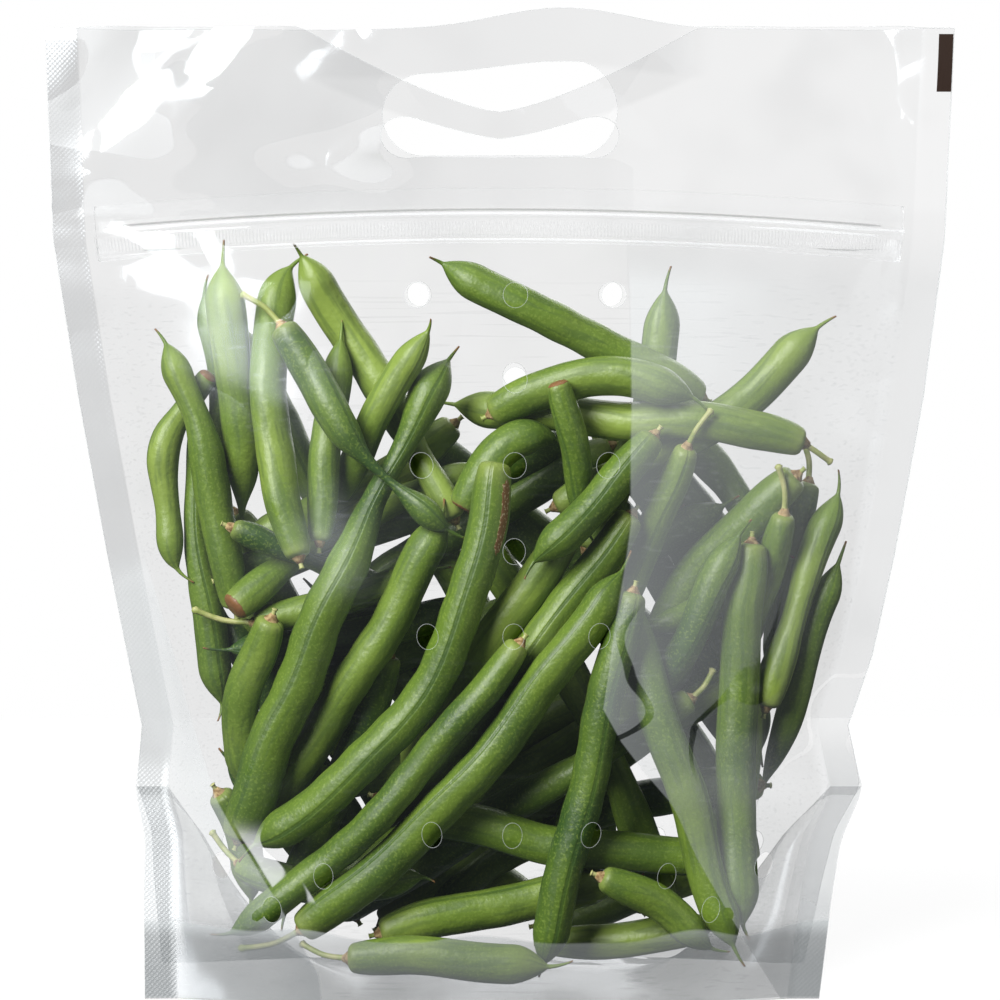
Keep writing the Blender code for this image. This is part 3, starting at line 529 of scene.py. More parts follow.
# %% [markdown]
# ## A smooth line and a skin round it
# A dozen stations are too few to look grown, so a curve is drawn through them and cut into about
# ninety rings. A skin of four-sided faces between rings is the plainest way to make anything long
# and round, and it unwraps by itself: girth one way, length the other.


# %% Curves and skins
def smooth_through(values, at):
    """Values on a smooth curve through the given ones, at any place between the first and the last."""
    count = len(values)
    step = np.clip(np.floor(at).astype(int), 0, count - 2)
    t = (at - step).reshape(-1, *[1] * (values.ndim - 1))
    before, here = values[np.maximum(step - 1, 0)], values[step]
    there, after = values[step + 1], values[np.minimum(step + 2, count - 1)]
    curve = 2 * here + (there - before) * t
    curve = curve + (2 * before - 5 * here + 4 * there - after) * t**2
    return (curve + (3 * here - before - 3 * there + after) * t**3) / 2


def relaxed(line, rounds):
    line = line.copy()
    for _ in range(rounds):
        line[1:-1] = (line[:-2] + 2 * line[1:-1] + line[2:]) / 4
    return line


def carried_axes(line, first):
    """Two directions across a line at each of its points, carried along without twisting."""
    ahead = np.gradient(line, axis=0)
    ahead /= np.linalg.norm(ahead, axis=1)[:, None]
    wide = []
    axis = np.array(first, float)
    for direction in ahead:
        axis = axis - direction * (axis @ direction)
        axis /= np.linalg.norm(axis)
        wide.append(axis)
    wide = np.array(wide)
    return ahead, wide, np.cross(ahead, wide)


class Skin:
    """Collects rings of points, faces between them, their unwrapped places and their finishes."""

    def __init__(self):
        self.points, self.faces, self.places, self.finishes = [], [], [], []
        self.saved = {"tone": [], "cork": []}

    def add(self, rings, finish, lengths, tone=0.5, cork=None, close=(True, True)):
        """Rings is (count, sides, 3). Lengths runs from 0 at the stem end to 1 at the beak."""
        count, sides = rings.shape[:2]
        base = len(self.points)
        self.points.extend(rings.reshape(-1, 3).tolist())
        self.saved["tone"].extend([tone] * count * sides)
        self.saved["cork"].extend((np.zeros(count * sides) if cork is None else cork.ravel()).tolist())
        for i in range(count - 1):
            for k in range(sides):
                n = (k + 1) % sides
                row, above = base + i * sides, base + (i + 1) * sides
                self.faces.append((row + k, row + n, above + n, above + k))
                low, high, left, right = lengths[i], lengths[i + 1], k / sides, (k + 1) / sides
                self.places.extend(((left, low), (right, low), (right, high), (left, high)))
                self.finishes.append(finish)
        for end, wanted in ((0, close[0]), (count - 1, close[1])):
            if wanted:
                around = [base + end * sides + k for k in range(sides)]
                self.faces.append(tuple(around[::-1] if end == 0 else around))
                self.places.extend((k / sides, lengths[end]) for k in range(sides))
                self.finishes.append(finish)

    def build(self, name, finishes):
        mesh = bpy.data.meshes.new(name)
        mesh.from_pydata(self.points, [], self.faces)
        for finish in finishes:
            mesh.materials.append(finish)
        mesh.polygons.foreach_set("material_index", self.finishes)
        unwrapped = mesh.uv_layers.new(name="cut")
        unwrapped.data.foreach_set("uv", np.array(self.places, np.float32).ravel())
        for key, values in self.saved.items():
            kept = mesh.attributes.new(key, "FLOAT", "POINT")
            kept.data.foreach_set("value", np.array(values, np.float32))
        mesh.shade_smooth()
        return new_object(name, mesh)


# %% [markdown]
# ## The pod itself
# A pod is nearly even in girth, with a short neck at the stem end and a beak that runs out into a
# thin tail. It is slightly flat, it swells over each seed, and a keel marks the seam. All of that is
# a change of the ring's reach with length and angle, so one formula shapes the whole pod.

# %% Pod shape
POD_RINGS = 84
POD_SIDES = 24
POD_FLATNESS = 0.92
POD_TWIST = 0.9
PACKED_SHARES = np.array((0.5, 0.84, 0.99, 1.0, 0.98, 1.0, 0.98, 0.9, 0.6))
SEED_SPACING = 11 * MM
SEED_SWELL = 0.03
KEEL = 0.03
KEEL_WIDTH = 0.2
NECK = 15 * MM
END_CAP = 1.3 * MM
SHOULDER = 9.5 * MM
TAIL_LENGTHS = (3.5 * MM, 6.5 * MM)
TAIL_GIRTHS = (0.26 * MM, 0.6 * MM)
TAIL_CURLS = (1.2, 3.0)
WOBBLE = 0.5 * MM
WOBBLE_LENGTHS = (32 * MM, 58 * MM)
NECK_SHARES = (0.5, 0.64)


def quarter_round(distance, reach):
    """From 0 to 1 over that reach, as a quarter of a circle rises."""
    return np.sqrt(1 - (1 - np.clip(distance / reach, 0, 1)) ** 2)


def even_shares(line, count):
    """Places along a line, closer to each other near its two ends."""
    along = np.concatenate(([0], np.cumsum(np.linalg.norm(np.diff(line, axis=0), axis=1))))
    share = np.linspace(0, 1, count)
    share = share - 0.5 * np.sin(2 * np.pi * share) / (2 * np.pi)
    return share, np.interp(share * along[-1], along, np.arange(len(line)))


def pod_girths(full, from_stem, from_tip, draw):
    """The girth along a pod: a blunt neck, an even body and shoulders that drop to a thin tail."""
    blunt = draw.uniform(*NECK_SHARES)
    reach = full * (blunt + (1 - blunt) * quarter_round(from_stem, NECK))
    reach = reach * (0.55 + 0.45 * quarter_round(from_stem, END_CAP))
    tail = draw.uniform(*TAIL_LENGTHS)
    thinnest, thickest = TAIL_GIRTHS
    tail_girth = thinnest + (thickest - thinnest) * np.clip(from_tip / tail, 0, 1)
    shoulder = np.clip((from_tip - tail) / SHOULDER, 0, 1)
    return tail_girth + (reach - tail_girth) * np.sin(shoulder * np.pi / 2) ** 0.9, tail


def pod_rings(pod_line, full, sideways, draw):
    """The rings of one pod, from its neck to the end of its tail."""
    share, at = even_shares(pod_line, POD_RINGS)
    middles = smooth_through(pod_line, at)
    from_stem = np.concatenate(([0], np.cumsum(np.linalg.norm(np.diff(middles, axis=0), axis=1))))
    from_tip = from_stem[-1] - from_stem
    reach, tail = pod_girths(smooth_through(full, at), from_stem, from_tip, draw)
    seeds = np.sin(2 * np.pi * (from_stem / SEED_SPACING + draw.random()))
    seeds = seeds * np.clip((from_stem - NECK) / NECK, 0, 1)
    seeds = seeds * np.clip((from_tip - 2 * SHOULDER) / NECK, 0, 1)
    ahead, wide, thin = carried_axes(middles, sideways)
    ease = np.clip(np.minimum(from_stem, from_tip) / NECK, 0, 1)
    for axis in (wide, thin):
        wave = np.sin(2 * np.pi * from_stem / draw.uniform(*WOBBLE_LENGTHS) + draw.uniform(0, 6))
        middles = middles + axis * (WOBBLE * ease * wave)[:, None]
    curl = draw.uniform(*TAIL_CURLS) * MM * draw.choice((-1, 1))
    middles = middles + wide * (curl * np.clip(1 - from_tip / (1.4 * tail), 0, 1) ** 2)[:, None]
    turn = 2 * np.pi * np.arange(POD_SIDES) / POD_SIDES
    twist = draw.uniform(0, 2 * np.pi) + draw.uniform(-POD_TWIST, POD_TWIST) * share
    off_front, off_back = np.minimum(turn, 2 * np.pi - turn), turn - np.pi
    keel = KEEL * (np.exp(-((off_back / KEEL_WIDTH) ** 2)) + np.exp(-((off_front / KEEL_WIDTH) ** 2)))
    out_wide = np.cos(turn) * (1 + keel)
    out_thin = np.sin(turn) * POD_FLATNESS * (1 + SEED_SWELL * seeds[:, None])
    c, s = np.cos(twist)[:, None, None], np.sin(twist)[:, None, None]
    across_wide = wide[:, None, :] * c + thin[:, None, :] * s
    across_thin = thin[:, None, :] * c - wide[:, None, :] * s
    out = across_wide * out_wide[None, :, None] + across_thin * out_thin[..., None]
    return middles[:, None, :] + reach[:, None, None] * out, share, (middles, reach, ahead, wide, thin)


# %% [markdown]
# ## Calyx, stalk and broken ends
# The calyx is a ragged collar of five points that clasps the neck. The stalk is a thin bent tube
# with a knob where it let go of the plant. Beans that lost their stalk end in a short dry stub, or
# in a rusty scar if they were snapped.

# %% Calyx and stalk shapes
CALYX_SIDES = 20
CALYX_POINTS = 5
CALYX_CLEARANCE = 0.3 * MM
STALK_SIDES = 8
STALK_RINGS = 16
STUB_SHARE = 0.8
STALK_GIRTH = 0.75 * MM
LONG_STALK = 3 * MM


def calyx_rings(neck, ahead, wide, thin, reach, draw):
    """A collar over the neck. Its last ring runs out into ragged points."""
    turn = 2 * np.pi * np.arange(CALYX_SIDES) / CALYX_SIDES
    points = 0.5 + 0.5 * np.cos(CALYX_POINTS * turn + draw.uniform(0, 6))
    ragged = np.array([draw.uniform(0.6, 1.3) for _ in turn])

    # Each ring has a place along the neck in mm, a reach, and how far its points run out in mm
    clasp = reach + CALYX_CLEARANCE
    flared = reach * 1.3 + CALYX_CLEARANCE
    profile = ((-1.6, 0.75 * MM, 0), (-0.9, 1.15 * MM, 0), (0.0, clasp, 0), (1.1, flared, 2.4))
    rings = []
    for along, out, points_out in profile:
        push = along * MM + points_out * MM * points * ragged
        flare = out + (0.35 * MM * ragged * (1 - points) if points_out else 0)
        across = np.cos(turn)[:, None] * wide + np.sin(turn)[:, None] * thin
        rings.append(neck + ahead * push[:, None] + across * (flare * np.ones_like(turn))[:, None])
    return np.array(rings)


def tube_rings(line, girths, sides, first):
    ahead, wide, thin = carried_axes(line, first)
    turn = 2 * np.pi * np.arange(sides) / sides
    across = np.cos(turn)[None, :, None] * wide[:, None] + np.sin(turn)[None, :, None] * thin[:, None]
    return line[:, None] + across * girths[:, None, None]


def stalk_rings(line, first, length_share):
    """The stalk from the neck outwards, with a knob on its end."""
    share = np.linspace(0, 1, STALK_RINGS)
    path = smooth_through(relaxed(line, 1), share * (len(line) - 1))
    knob = 0.55 * np.exp(-(((share - 0.96) / 0.07) ** 2))
    root = 0.4 * np.exp(-((share / 0.12) ** 2))
    girths = STALK_GIRTH * (1 + knob + root)
    girths[-1] *= 0.45
    return tube_rings(path, girths * length_share, STALK_SIDES, first)


# %% [markdown]
# ## Dressing every bean
# Each bean gets its own seeded draw, so the heap is varied and still comes out the same every time.
# A few beans are singled out, because the photograph shows them plainly: the one with a corky scar
# by its neck, and those whose snapped ends have rusted.

# %% Make the beans
SCARRED = "bean_03"
SCAR_SIDE = np.array((0.75, -0.66, 0.0))
SNAPPED = {"bean_02", "bean_07", "bean_17", "bean_20", "bean_29", "bean_30"}
TONES = (0.0, 0.95)
COLLAR_LENGTH = 0.02


def cork_mask(name, rings, share, middles):
    """Where the skin is corky: a strip near the scarred bean's neck and the ends of snapped beans."""
    mask = np.zeros(rings.shape[:2])
    if name == SCARRED:
        out = rings - middles[:, None]
        out /= np.linalg.norm(out, axis=2, keepdims=True)
        strip = np.clip((out @ SCAR_SIDE - 0.92) / 0.07, 0, 1)
        near_neck = np.clip((share - 0.03) / 0.02, 0, 1) * np.clip((0.2 - share) / 0.04, 0, 1)
        mask = strip * near_neck[:, None]
    if name in SNAPPED:
        end = np.clip((0.035 - share) / 0.02, 0, 1)
        mask = np.maximum(mask, end[:, None] * np.ones(rings.shape[1]))
    return mask


def dress(skin, name, pod_line, full, sideways, stalk_route, draw):
    """Adds one bean to a skin: its pod and, unless it was snapped off, its calyx and stalk."""
    rings, share, (middles, reach, ahead, wide, thin) = pod_rings(pod_line, full, sideways, draw)
    tone = draw.uniform(*TONES)
    skin.add(rings, 0, share, tone=tone, cork=cork_mask(name, rings, share, middles))
    if name in SNAPPED or name == SCARRED:
        return
    collar = calyx_rings(middles[0], ahead[0], wide[0], thin[0], reach[0], draw)
    skin.add(collar, 1, np.linspace(0, COLLAR_LENGTH, len(collar)), close=(True, False))
    route = [middles[0], *stalk_route]
    if not stalk_route:
        route += [middles[0] - ahead[0] * 1.8 * MM, middles[0] - ahead[0] * 3 * MM]
    stalk_tube = stalk_rings(np.array(route), wide[0], 1.0 if stalk_route else STUB_SHARE)
    skin.add(stalk_tube, 2, np.linspace(0, COLLAR_LENGTH, STALK_RINGS))


def finished(skin, name):
    piece = skin.build(name + "_dressed", (pod_skin, dry_calyx, fresh_stalk))
    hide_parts(name)
    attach(piece, "root")
    return piece


def make_bean(name):
    line, girths, sideways = lines[name]
    pod_line = relaxed(line[2:], 2)
    has_stalk = np.linalg.norm(line[1] - line[0]) > LONG_STALK
    stalk_route = [line[1], line[0]] if has_stalk else []
    full = girths[2:-1] / PACKED_SHARES
    full = np.append(full, full[-1])
    skin = Skin()
    dress(skin, name, pod_line, full, sideways[2], stalk_route, random.Random(name))
    return finished(skin, name)


def make_back_beans():
    """All the crossing beans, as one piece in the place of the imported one."""
    skin = Skin()
    for i, (line, girth) in enumerate(crossing):
        name = f"crossing_{i}"
        full = np.full(len(line), girth)
        dress(skin, name, line, full, np.array((0.0, 1.0, 0.0)), [], random.Random(name))
    return finished(skin, "back_beans")


beans = [make_bean(name) for name in bean_names] + [make_back_beans()]
print(f"{len(beans)} bean pieces with {sum(len(bean.data.polygons) for bean in beans)} faces")

# %% [markdown]
# ## Ripples
# Thin film never lies quite smooth. Broad soft dents run over the belly, tight diagonal pulls run
# out from the ends of the hand slot, and short crumples sit where the zip's ends were crushed into
# the side welds. They could be a bump in the material, but real ripples also bend the outline and
# the mirrored light, so the film itself is moved, by less than the room that the beans leave it.

# %% Gentle waves
def waves(seed, count, shortest, longest, lean=None):
    """A few gentle waves in seeded directions, as a function of the place on the cut."""
    draw = random.Random(seed)
    made = []
    for _ in range(count):
        long = draw.uniform(shortest, longest)
        way = draw.uniform(0, math.pi) if lean is None else lean + draw.uniform(-0.35, 0.35)
        steep = 2 * math.pi / long
        made.append((steep * math.cos(way), steep * math.sin(way), draw.uniform(0, 6)))

    def height(x, z):
        return sum(np.sin(a * x + b * z + c) for a, b, c in made) / math.sqrt(count)

    return height


# %% Ripple field
STIFF_EDGE = 25 * MM
BELLY_DENT = 0.45 * MM
TOP_PULL = 1.25 * MM
CRUMPLE = 0.9 * MM
belly_dents = {side: waves(f"belly {side}", 7, 28 * MM, 80 * MM) for side in (-1, 1)}
top_pulls = {side: waves(f"top {side}", 6, 16 * MM, 48 * MM, lean=0.9) for side in (-1, 1)}
crumples = {side: waves(f"crumple {side}", 6, 5 * MM, 11 * MM, lean=1.4) for side in (-1, 1)}
ZIP_HEIGHT = 197 * MM


def ripple(x, z, side):
    """How far the film stands off its even shape, outwards."""
    from_edge = np.clip((FLAT_HALF_WIDTH - np.abs(x)) / STIFF_EDGE, 0, 1)
    belly = np.clip((ZIP_HEIGHT - 12 * MM - z) / (30 * MM), 0, 1) * from_edge
    above = np.clip((z - ZIP_HEIGHT - 6 * MM) / (12 * MM), 0, 1) * (0.25 + 0.75 * from_edge)
    beside_zip = np.exp(-(((z - ZIP_HEIGHT + 3 * MM) / (10 * MM)) ** 2)) * np.clip(1 - from_edge, 0, 1)
    return (
        BELLY_DENT * belly * belly_dents[side](x, z)
        + TOP_PULL * above * top_pulls[side](np.abs(x), z)
        + CRUMPLE * beside_zip * crumples[side](x, z)
    )


def front_place(x, z):
    rise = np.clip((z - SLUMP_BASE) / (FLAT_HEIGHT - SLUMP_BASE), 0, 1) ** SLUMP_ONSET
    fallen = rise * np.clip(1 - (np.abs(x) / FRONT_SLUMP_REACH) ** SLUMP_SIDES, 0, 1)
    depth = half_depth(x / INNER_HALF_WIDTH, z) + FILM_MIDDLE + ripple(x, z, -1)
    return across(x, z), -depth - FRONT_SLUMP_FORWARD * fallen, z - FRONT_SLUMP * fallen


def back_place(x, z):
    rise = np.clip((z - SLUMP_BASE) / (FLAT_HEIGHT - SLUMP_BASE), 0, 1)
    lift = BACK_LIFT * rise * np.exp(-(((x - BACK_LIFT_CENTRE) / BACK_LIFT_REACH) ** 2))
    depth = half_depth(x / INNER_HALF_WIDTH, z) + FILM_MIDDLE + ripple(x, z, 1)
    return across(x, z), depth, z + lift


# %% [markdown]
# ## Cutting the film
# On the real line the slot and the vents are punched before the pouch is folded and filled. The same
# order is the easy one here. A fine flat grid is punched with plain prisms while it is still flat,
# and only then is every point of it carried to its place on the filled pouch.

# %% Punching
VENT_RADIUS = 3.2 * MM
VENT_SIDES = 24
VENT_COLUMNS = np.array((-21.5, 4, 29.5)) * MM
VENT_ROW_PITCH = 21 * MM
VENT_ROWS = 5
TOP_VENT_ROW = 176 * MM
LOW_VENT_ROW = 43 * MM
GUSSET_VENTS = ((57 * MM, 32 * MM), (74 * MM, 23 * MM), (91 * MM, 33 * MM))
SLOT_HEIGHT = 221.3 * MM
SLOT_HALF_LENGTH = 30 * MM
SLOT_HALF_WIDTH = 10.2 * MM
SLOT_SIDES = 56
GRID_STEP = 3 * MM
PLATE_THICKNESS = 2 * MM


def vent_places():
    rows = [TOP_VENT_ROW - i * VENT_ROW_PITCH for i in range(VENT_ROWS)]
    places = [(VENT_COLUMNS[1], row) for row in rows]
    places += [(side, row) for row in rows[::2] for side in VENT_COLUMNS[::2]]
    places += [(column, LOW_VENT_ROW) for column in VENT_COLUMNS]
    return places + [(side * x, z) for x, z in GUSSET_VENTS for side in (-1, 1)]


def rounded(x, z, half_length, radius, sides):
    """A circle, or a slot with round ends, as points in the flat film."""
    points = []
    for i in range(sides):
        a = 2 * math.pi * (i + 0.5) / sides
        end = math.copysign(half_length - radius, math.cos(a))
        points.append((x + end + radius * math.cos(a), z + radius * math.sin(a)))
    return points


def grid_lines(low, high, kept):
    """Even grid lines with some exact ones among them."""
    count = round((high - low) / GRID_STEP)
    lines_made = set(np.round(np.linspace(low, high, count + 1), 6))
    for line in kept:
        lines_made = {x for x in lines_made if abs(x - line) > GRID_STEP / 2} | {line}
    return sorted(float(x) for x in lines_made)


def flat_plate(columns, rows, thick):
    mesh = bmesh.new()
    grid = [[mesh.verts.new((x, 0, z)) for z in rows] for x in columns]
    for i in range(len(columns) - 1):
        for j in range(len(rows) - 1):
            mesh.faces.new((grid[i][j], grid[i + 1][j], grid[i + 1][j + 1], grid[i][j + 1]))
    raised = bmesh.ops.extrude_face_region(mesh, geom=mesh.faces[:])["geom"]
    raised = [part for part in raised if isinstance(part, bmesh.types.BMVert)]
    bmesh.ops.translate(mesh, verts=raised, vec=(0, thick, 0))
    bmesh.ops.recalc_face_normals(mesh, faces=mesh.faces[:])
    plate = bpy.data.meshes.new("plate")
    mesh.to_mesh(plate)
    return plate


def punches(outlines, reach):
    mesh = bmesh.new()
    for outline in outlines:
        near = [mesh.verts.new((x, -reach, z)) for x, z in outline]
        far = [mesh.verts.new((x, 2 * reach, z)) for x, z in outline]
        mesh.faces.new(near)
        mesh.faces.new(far[::-1])
        for i in range(len(outline)):
            k = (i + 1) % len(outline)
            mesh.faces.new((near[k], near[i], far[i], far[k]))
    bmesh.ops.recalc_face_normals(mesh, faces=mesh.faces[:])
    made = bpy.data.meshes.new("punches")
    mesh.to_mesh(made)
    return made


def punched_layer():
    """The punched flat film as one layer of faces, its normals towards the front."""
    welds = (-FLAT_HALF_WIDTH, -INNER_HALF_WIDTH, 0.0, INNER_HALF_WIDTH, FLAT_HALF_WIDTH)
    columns = grid_lines(-FLAT_HALF_WIDTH, FLAT_HALF_WIDTH, welds)
    rows = grid_lines(0, FLAT_HEIGHT, (0.0, LEG_TOP, FLAT_HEIGHT))
    plate = new_object("plate", flat_plate(columns, rows, PLATE_THICKNESS))
    slot = rounded(0, SLOT_HEIGHT, SLOT_HALF_LENGTH, SLOT_HALF_WIDTH, SLOT_SIDES)
    vents = [rounded(x, z, VENT_RADIUS, VENT_RADIUS, VENT_SIDES) for x, z in vent_places()]
    cutter = new_object("punches", punches([slot, *vents], PLATE_THICKNESS))
    cut = plate.modifiers.new("punch", "BOOLEAN")
    cut.object, cut.operation = cutter, "DIFFERENCE"
    bpy.context.view_layer.update()
    punched = plate.evaluated_get(bpy.context.evaluated_depsgraph_get())
    layer = bmesh.new()
    layer.from_mesh(bpy.data.meshes.new_from_object(punched))
    for thing in (plate, cutter):
        bpy.data.objects.remove(thing)
    layer.normal_update()
    others = [face for face in layer.faces if face.normal.y > -0.9]
    bmesh.ops.delete(layer, geom=others, context="FACES")
    bmesh.ops.triangulate(layer, faces=[face for face in layer.faces if len(face.verts) > 4])
    return layer


film_layer = punched_layer()
print(f"one punched panel has {len(film_layer.faces)} faces")

# %% [markdown]
# ## Clear film
# Film is nearly invisible face on, mirrors a little everywhere and more at a glance, and holds a
# faint milky haze. It could be glass, but bent rays through several layers are slow and noisy, and
# film this thin hardly bends light. So the shader is mostly see-through, and what share of it shows
# is worked out: a base share, more towards grazing angles, more where the film is welded or scuffed,
# and more low on the folded bottom, partly for the fold and partly as painted shade. The welds and
# the upper left also carry painted shade. What shows is part mirror, part milky white, and low down
# it is tinted darker as painted shade.

# %% Film recipe
WELD_SHARE = SIDE_WELD / (2 * FLAT_HALF_WIDTH)
STRIP_HALF_LENGTH = 50 * MM / (2 * FLAT_HALF_WIDTH)
FOOT_TOP = 17.5 * MM

# What share of the film shows: everywhere, and more in each of these places. The extra in the upper
# left is painted shade
BARE_FILM, CLOUDS, SCRATCHES, HAND_STRIP, UPPER_LEFT, FULL_FILM = 0.075, 0.04, 0.05, 0.07, 0.025, 0.85
# Painted shade on the welds: the left weld shows more than the right one, and low down the right one
# shows more
LEFT_WELD, RIGHT_WELD, LOW_WELD = 0.12, -0.015, 0.13

# How milky what shows is, its tints, and how rough it is. Painted reflections make it milky, painted
# glints make it white, and painted shade tints it darker at the foot
BARE_HAZE, VEIL_HAZE, GLINT_WHITENESS, FAINT_VEIL = 0.17, 4.0, 5.0, 0.01
MIRROR_TINT = (0.19, 0.205, 0.22)
MILKY_TINT = (0.50, 0.53, 0.54)
FOOT_SHADE_TINT = (0.22, 0.235, 0.24)
GLINT_WHITE = (0.92, 0.94, 0.95)
GLOSSY, SCUFFED, EMBOSSED = 0.09, 0.24, 0.3

# How fine its clouds, scratches, waves and crinkles are, and the grid that is pressed into its welds
CLOUD_SCALE, SCRATCH_SCALE, WAVE_SCALE, CRINKLE_SCALE = 30, 1300, 90, 48
CRINKLE_HEIGHTS = (0.4, 13)
CHECKS_ACROSS, CHECKS_UP, CHECK_HEIGHT = 1150.0, 1220.0, 0.12


def bare_share(film, u, v, weld, fold, glint):
    """What share of the film shows before any veil is added."""
    low_weld = film.times(weld, film.times(film.ramp(v, 0.20, 0.28, LOW_WELD, 0), u))
    glance = film.node("ShaderNodeLayerWeight")
    glance.inputs["Blend"].default_value = 0.22
    cloud = film.ramp(film.noise(CLOUD_SCALE, 2), 0.45, 0.75)
    lengthwise = film.stretched((0.03, 1, 1.0))
    scratches = film.ramp(film.noise(SCRATCH_SCALE, 0, lengthwise), 0.67, 0.76)
    scratches = film.times(scratches, film.ramp(v, 0.70, 0.76, SCRATCHES, 0))
    strip = (STRIP_HALF_LENGTH * 0.8, STRIP_HALF_LENGTH * 1.1)
    hand_strip = film.ramp(film.off_middle(u), *strip, 1, 0)
    hand_strip = film.times(hand_strip, film.ramp(v, 0.945, 0.955))
    return film.plus(
        BARE_FILM,
        # Low on the folded bottom the film shows more: partly the fold, partly painted shade
        film.times(film.ramp(film.height(), 6 * MM, FOOT_TOP, 1, 0), fold),
        film.times(glance.outputs["Fresnel"], glint),
        film.times(cloud, CLOUDS),
        film.times(scratches, film.ramp(weld, 0, 1, 1, 0)),
        film.times(weld, film.ramp(u, 0.3, 0.7, LEFT_WELD, RIGHT_WELD)),
        low_weld,
        film.times(hand_strip, HAND_STRIP),
        film.times(film.ramp(v, 0.80, 0.83, 0, UPPER_LEFT), film.ramp(u, 0.5, 0.65, 1, 0)),
    )


def film_relief(film, u, v, weld):
    """Soft waves, the grid pressed into the welds, and crinkles that are deep above the zip."""
    grid = ((u, CHECKS_ACROSS), (v, CHECKS_UP))
    checks = film.times(*(film.math("SINE", film.times(place, count)) for place, count in grid))
    embossed = film.times(checks, weld, CHECK_HEIGHT)
    facets = film.times(film.facets(CRINKLE_SCALE), film.ramp(v, 0.50, 0.85, *CRINKLE_HEIGHTS))
    return film.plus(film.noise(WAVE_SCALE, 1), embossed, facets)


def film_recipe(name, veil=None, fold=0.0, glint=0.5):
    """Clear film. Veil gives its painted reflections, shade and sheen as a grey share, and its painted
    glints as a white one.
    """
    film = Recipe(name)
    u, v = film.unwrapped()
    from_side = film.math("MINIMUM", u, film.minus(1.0, u))
    weld = film.ramp(from_side, WELD_SHARE * 0.96, WELD_SHARE * 1.04, 1, 0)
    grey, white = veil(film, u, v) if veil else (FAINT_VEIL, 0.0)
    share = film.plus(bare_share(film, u, v, weld, fold, glint), grey, white)
    milky = film.math("MULTIPLY_ADD", film.plus(grey, white), VEIL_HAZE, BARE_HAZE)
    milky = film.math("MINIMUM", milky, 1.0)
    # Low down the film is tinted darker: painted shade at the foot
    low_down = film.ramp(film.height(), 14 * MM, 20 * MM, 1, 0)
    tint = film.blend(milky, MIRROR_TINT, film.blend(low_down, MILKY_TINT, FOOT_SHADE_TINT))
    weld_roughness = film.ramp(weld, 0, 1, GLOSSY, EMBOSSED)
    belly_roughness = film.ramp(v, 0.62, 0.78, SCUFFED, GLOSSY)
    film.bump(film_relief(film, u, v, weld), 0.5 * MM, 0.35)
    film.shader.inputs["IOR"].default_value = 1.5
    # Where painted glints and highlights are, the film turns white
    return film.give(
        Base_Color=film.blend(film.times(white, GLINT_WHITENESS), tint, GLINT_WHITE),
        Metallic=film.minus(1.0, milky),
        Roughness=film.math("MAXIMUM", weld_roughness, belly_roughness),
        Alpha=film.math("MINIMUM", share, FULL_FILM),
    )


# %% [markdown]
# ## Veils
# Where the film hangs free of the beans it mirrors the pale room, and at the foot it lies double
# over the folded bottom. These veils are painted into the front film's finish: painted reflections
# of the pale room at both sides and along the left edge, the double film and painted shade at the
# foot, a painted sheen at the top right, painted shade and painted highlights in the upper left, and
# painted glints low at the left. On the real pouch these veils end in sharp creases. They could be
# kept on the film's points, but a point every three millimetres makes a sawtooth of a crease, so each
# crease is a line drawn up the cut, and the finish itself compares each place with that line.

# %% Veils on the front film
RIGHT_CREASE = ((30, 243), (31, 190), (32, 120), (25, 74), (35, 58), (51, 32), (66, 7), (70, 0))
# The left edge of a painted sheen at the top right: right of this line the film shows less
RIGHT_SHEEN_EDGE = ((38, 243), (28, 231), (15, 216), (33, 208), (33, 200), (33, 0))
LEFT_CREASE = ((-99, 243), (-89, 108), (-77, 66), (-65, 40), (-55, 25), (-45, 7), (-44, 0))
CREASE_WANDER = 0.012

# What each veil adds, at its crease and further in where it fades: the painted reflections at the
# right and left, the double film and painted shade at the foot, and the painted sheen, which takes
# share away at the top right. Then the patches of painted shade and painted highlights, the painted
# reflection along the left edge, the painted glints, and the dark curves that break the right one
RIGHT_REFLECTION, LEFT_REFLECTION, FOOT_DOUBLE_AND_SHADE, PAINTED_SHEEN = (0.23, 0.12), (0.26, 0.12), 0.40, -0.035
SHADED, BRIGHT, LEFT_EDGE_REFLECTION, GLINT, DARK_CURVES = 0.075, 0.14, 0.05, 0.35, 0.75


def crease_on_cut(points):
    """A crease seen on the filled pouch, as places up and across the flat cut, both from 0 to 1."""
    places = []
    for x, z in points:
        room = float(half_width(x, z * MM)) - SIDE_WELD
        on_cut = x * MM * INNER_HALF_WIDTH / room
        places.append((z * MM / FLAT_HEIGHT, on_cut / (2 * FLAT_HALF_WIDTH) + 0.5))
    return places


def right_veil(film, v, across_cut):
    """A painted reflection of the pale room at the right, broken by dark curves where the film is
    pressed to the beans.
    """
    past = film.minus(across_cut, film.drawn(v, crease_on_cut(RIGHT_CREASE)))
    pale = film.times(film.ramp(past, 0, 0.004), film.ramp(past, 0.0, 0.3, *RIGHT_REFLECTION))
    pale = film.times(pale, film.ramp(v, 0.72, 0.80, 1, 0.0))
    half_way_up = film.times(film.ramp(v, 0.22, 0.26), film.ramp(v, 0.38, 0.42, 1, 0))
    curves = film.ramp(film.off_middle(film.noise(30, 1)), 0.009, 0.015, DARK_CURVES, 0)
    return film.times(pale, film.minus(1.0, film.times(curves, half_way_up)))


def left_veil(film, v, short_of):
    """A painted reflection of the pale room at the left."""
    pale = film.times(film.ramp(short_of, 0, 0.006), film.ramp(short_of, 0.0, 0.09, *LEFT_REFLECTION))
    return film.times(pale, film.ramp(v, 0.40, 0.48, 1, 0))


def low_glint(film, v, short_of):
    """Painted glints, broken, beside the left crease, just above the foot."""
    beside = film.times(film.ramp(short_of, -0.055, -0.05), film.ramp(short_of, -0.006, 0.0, 1, 0))
    low = film.times(film.ramp(v, 0.10, 0.11), film.ramp(v, 0.15, 0.19, 1, 0))
    return film.times(film.times(beside, low), film.ramp(film.noise(70, 0), 0.47, 0.50, 0, GLINT))


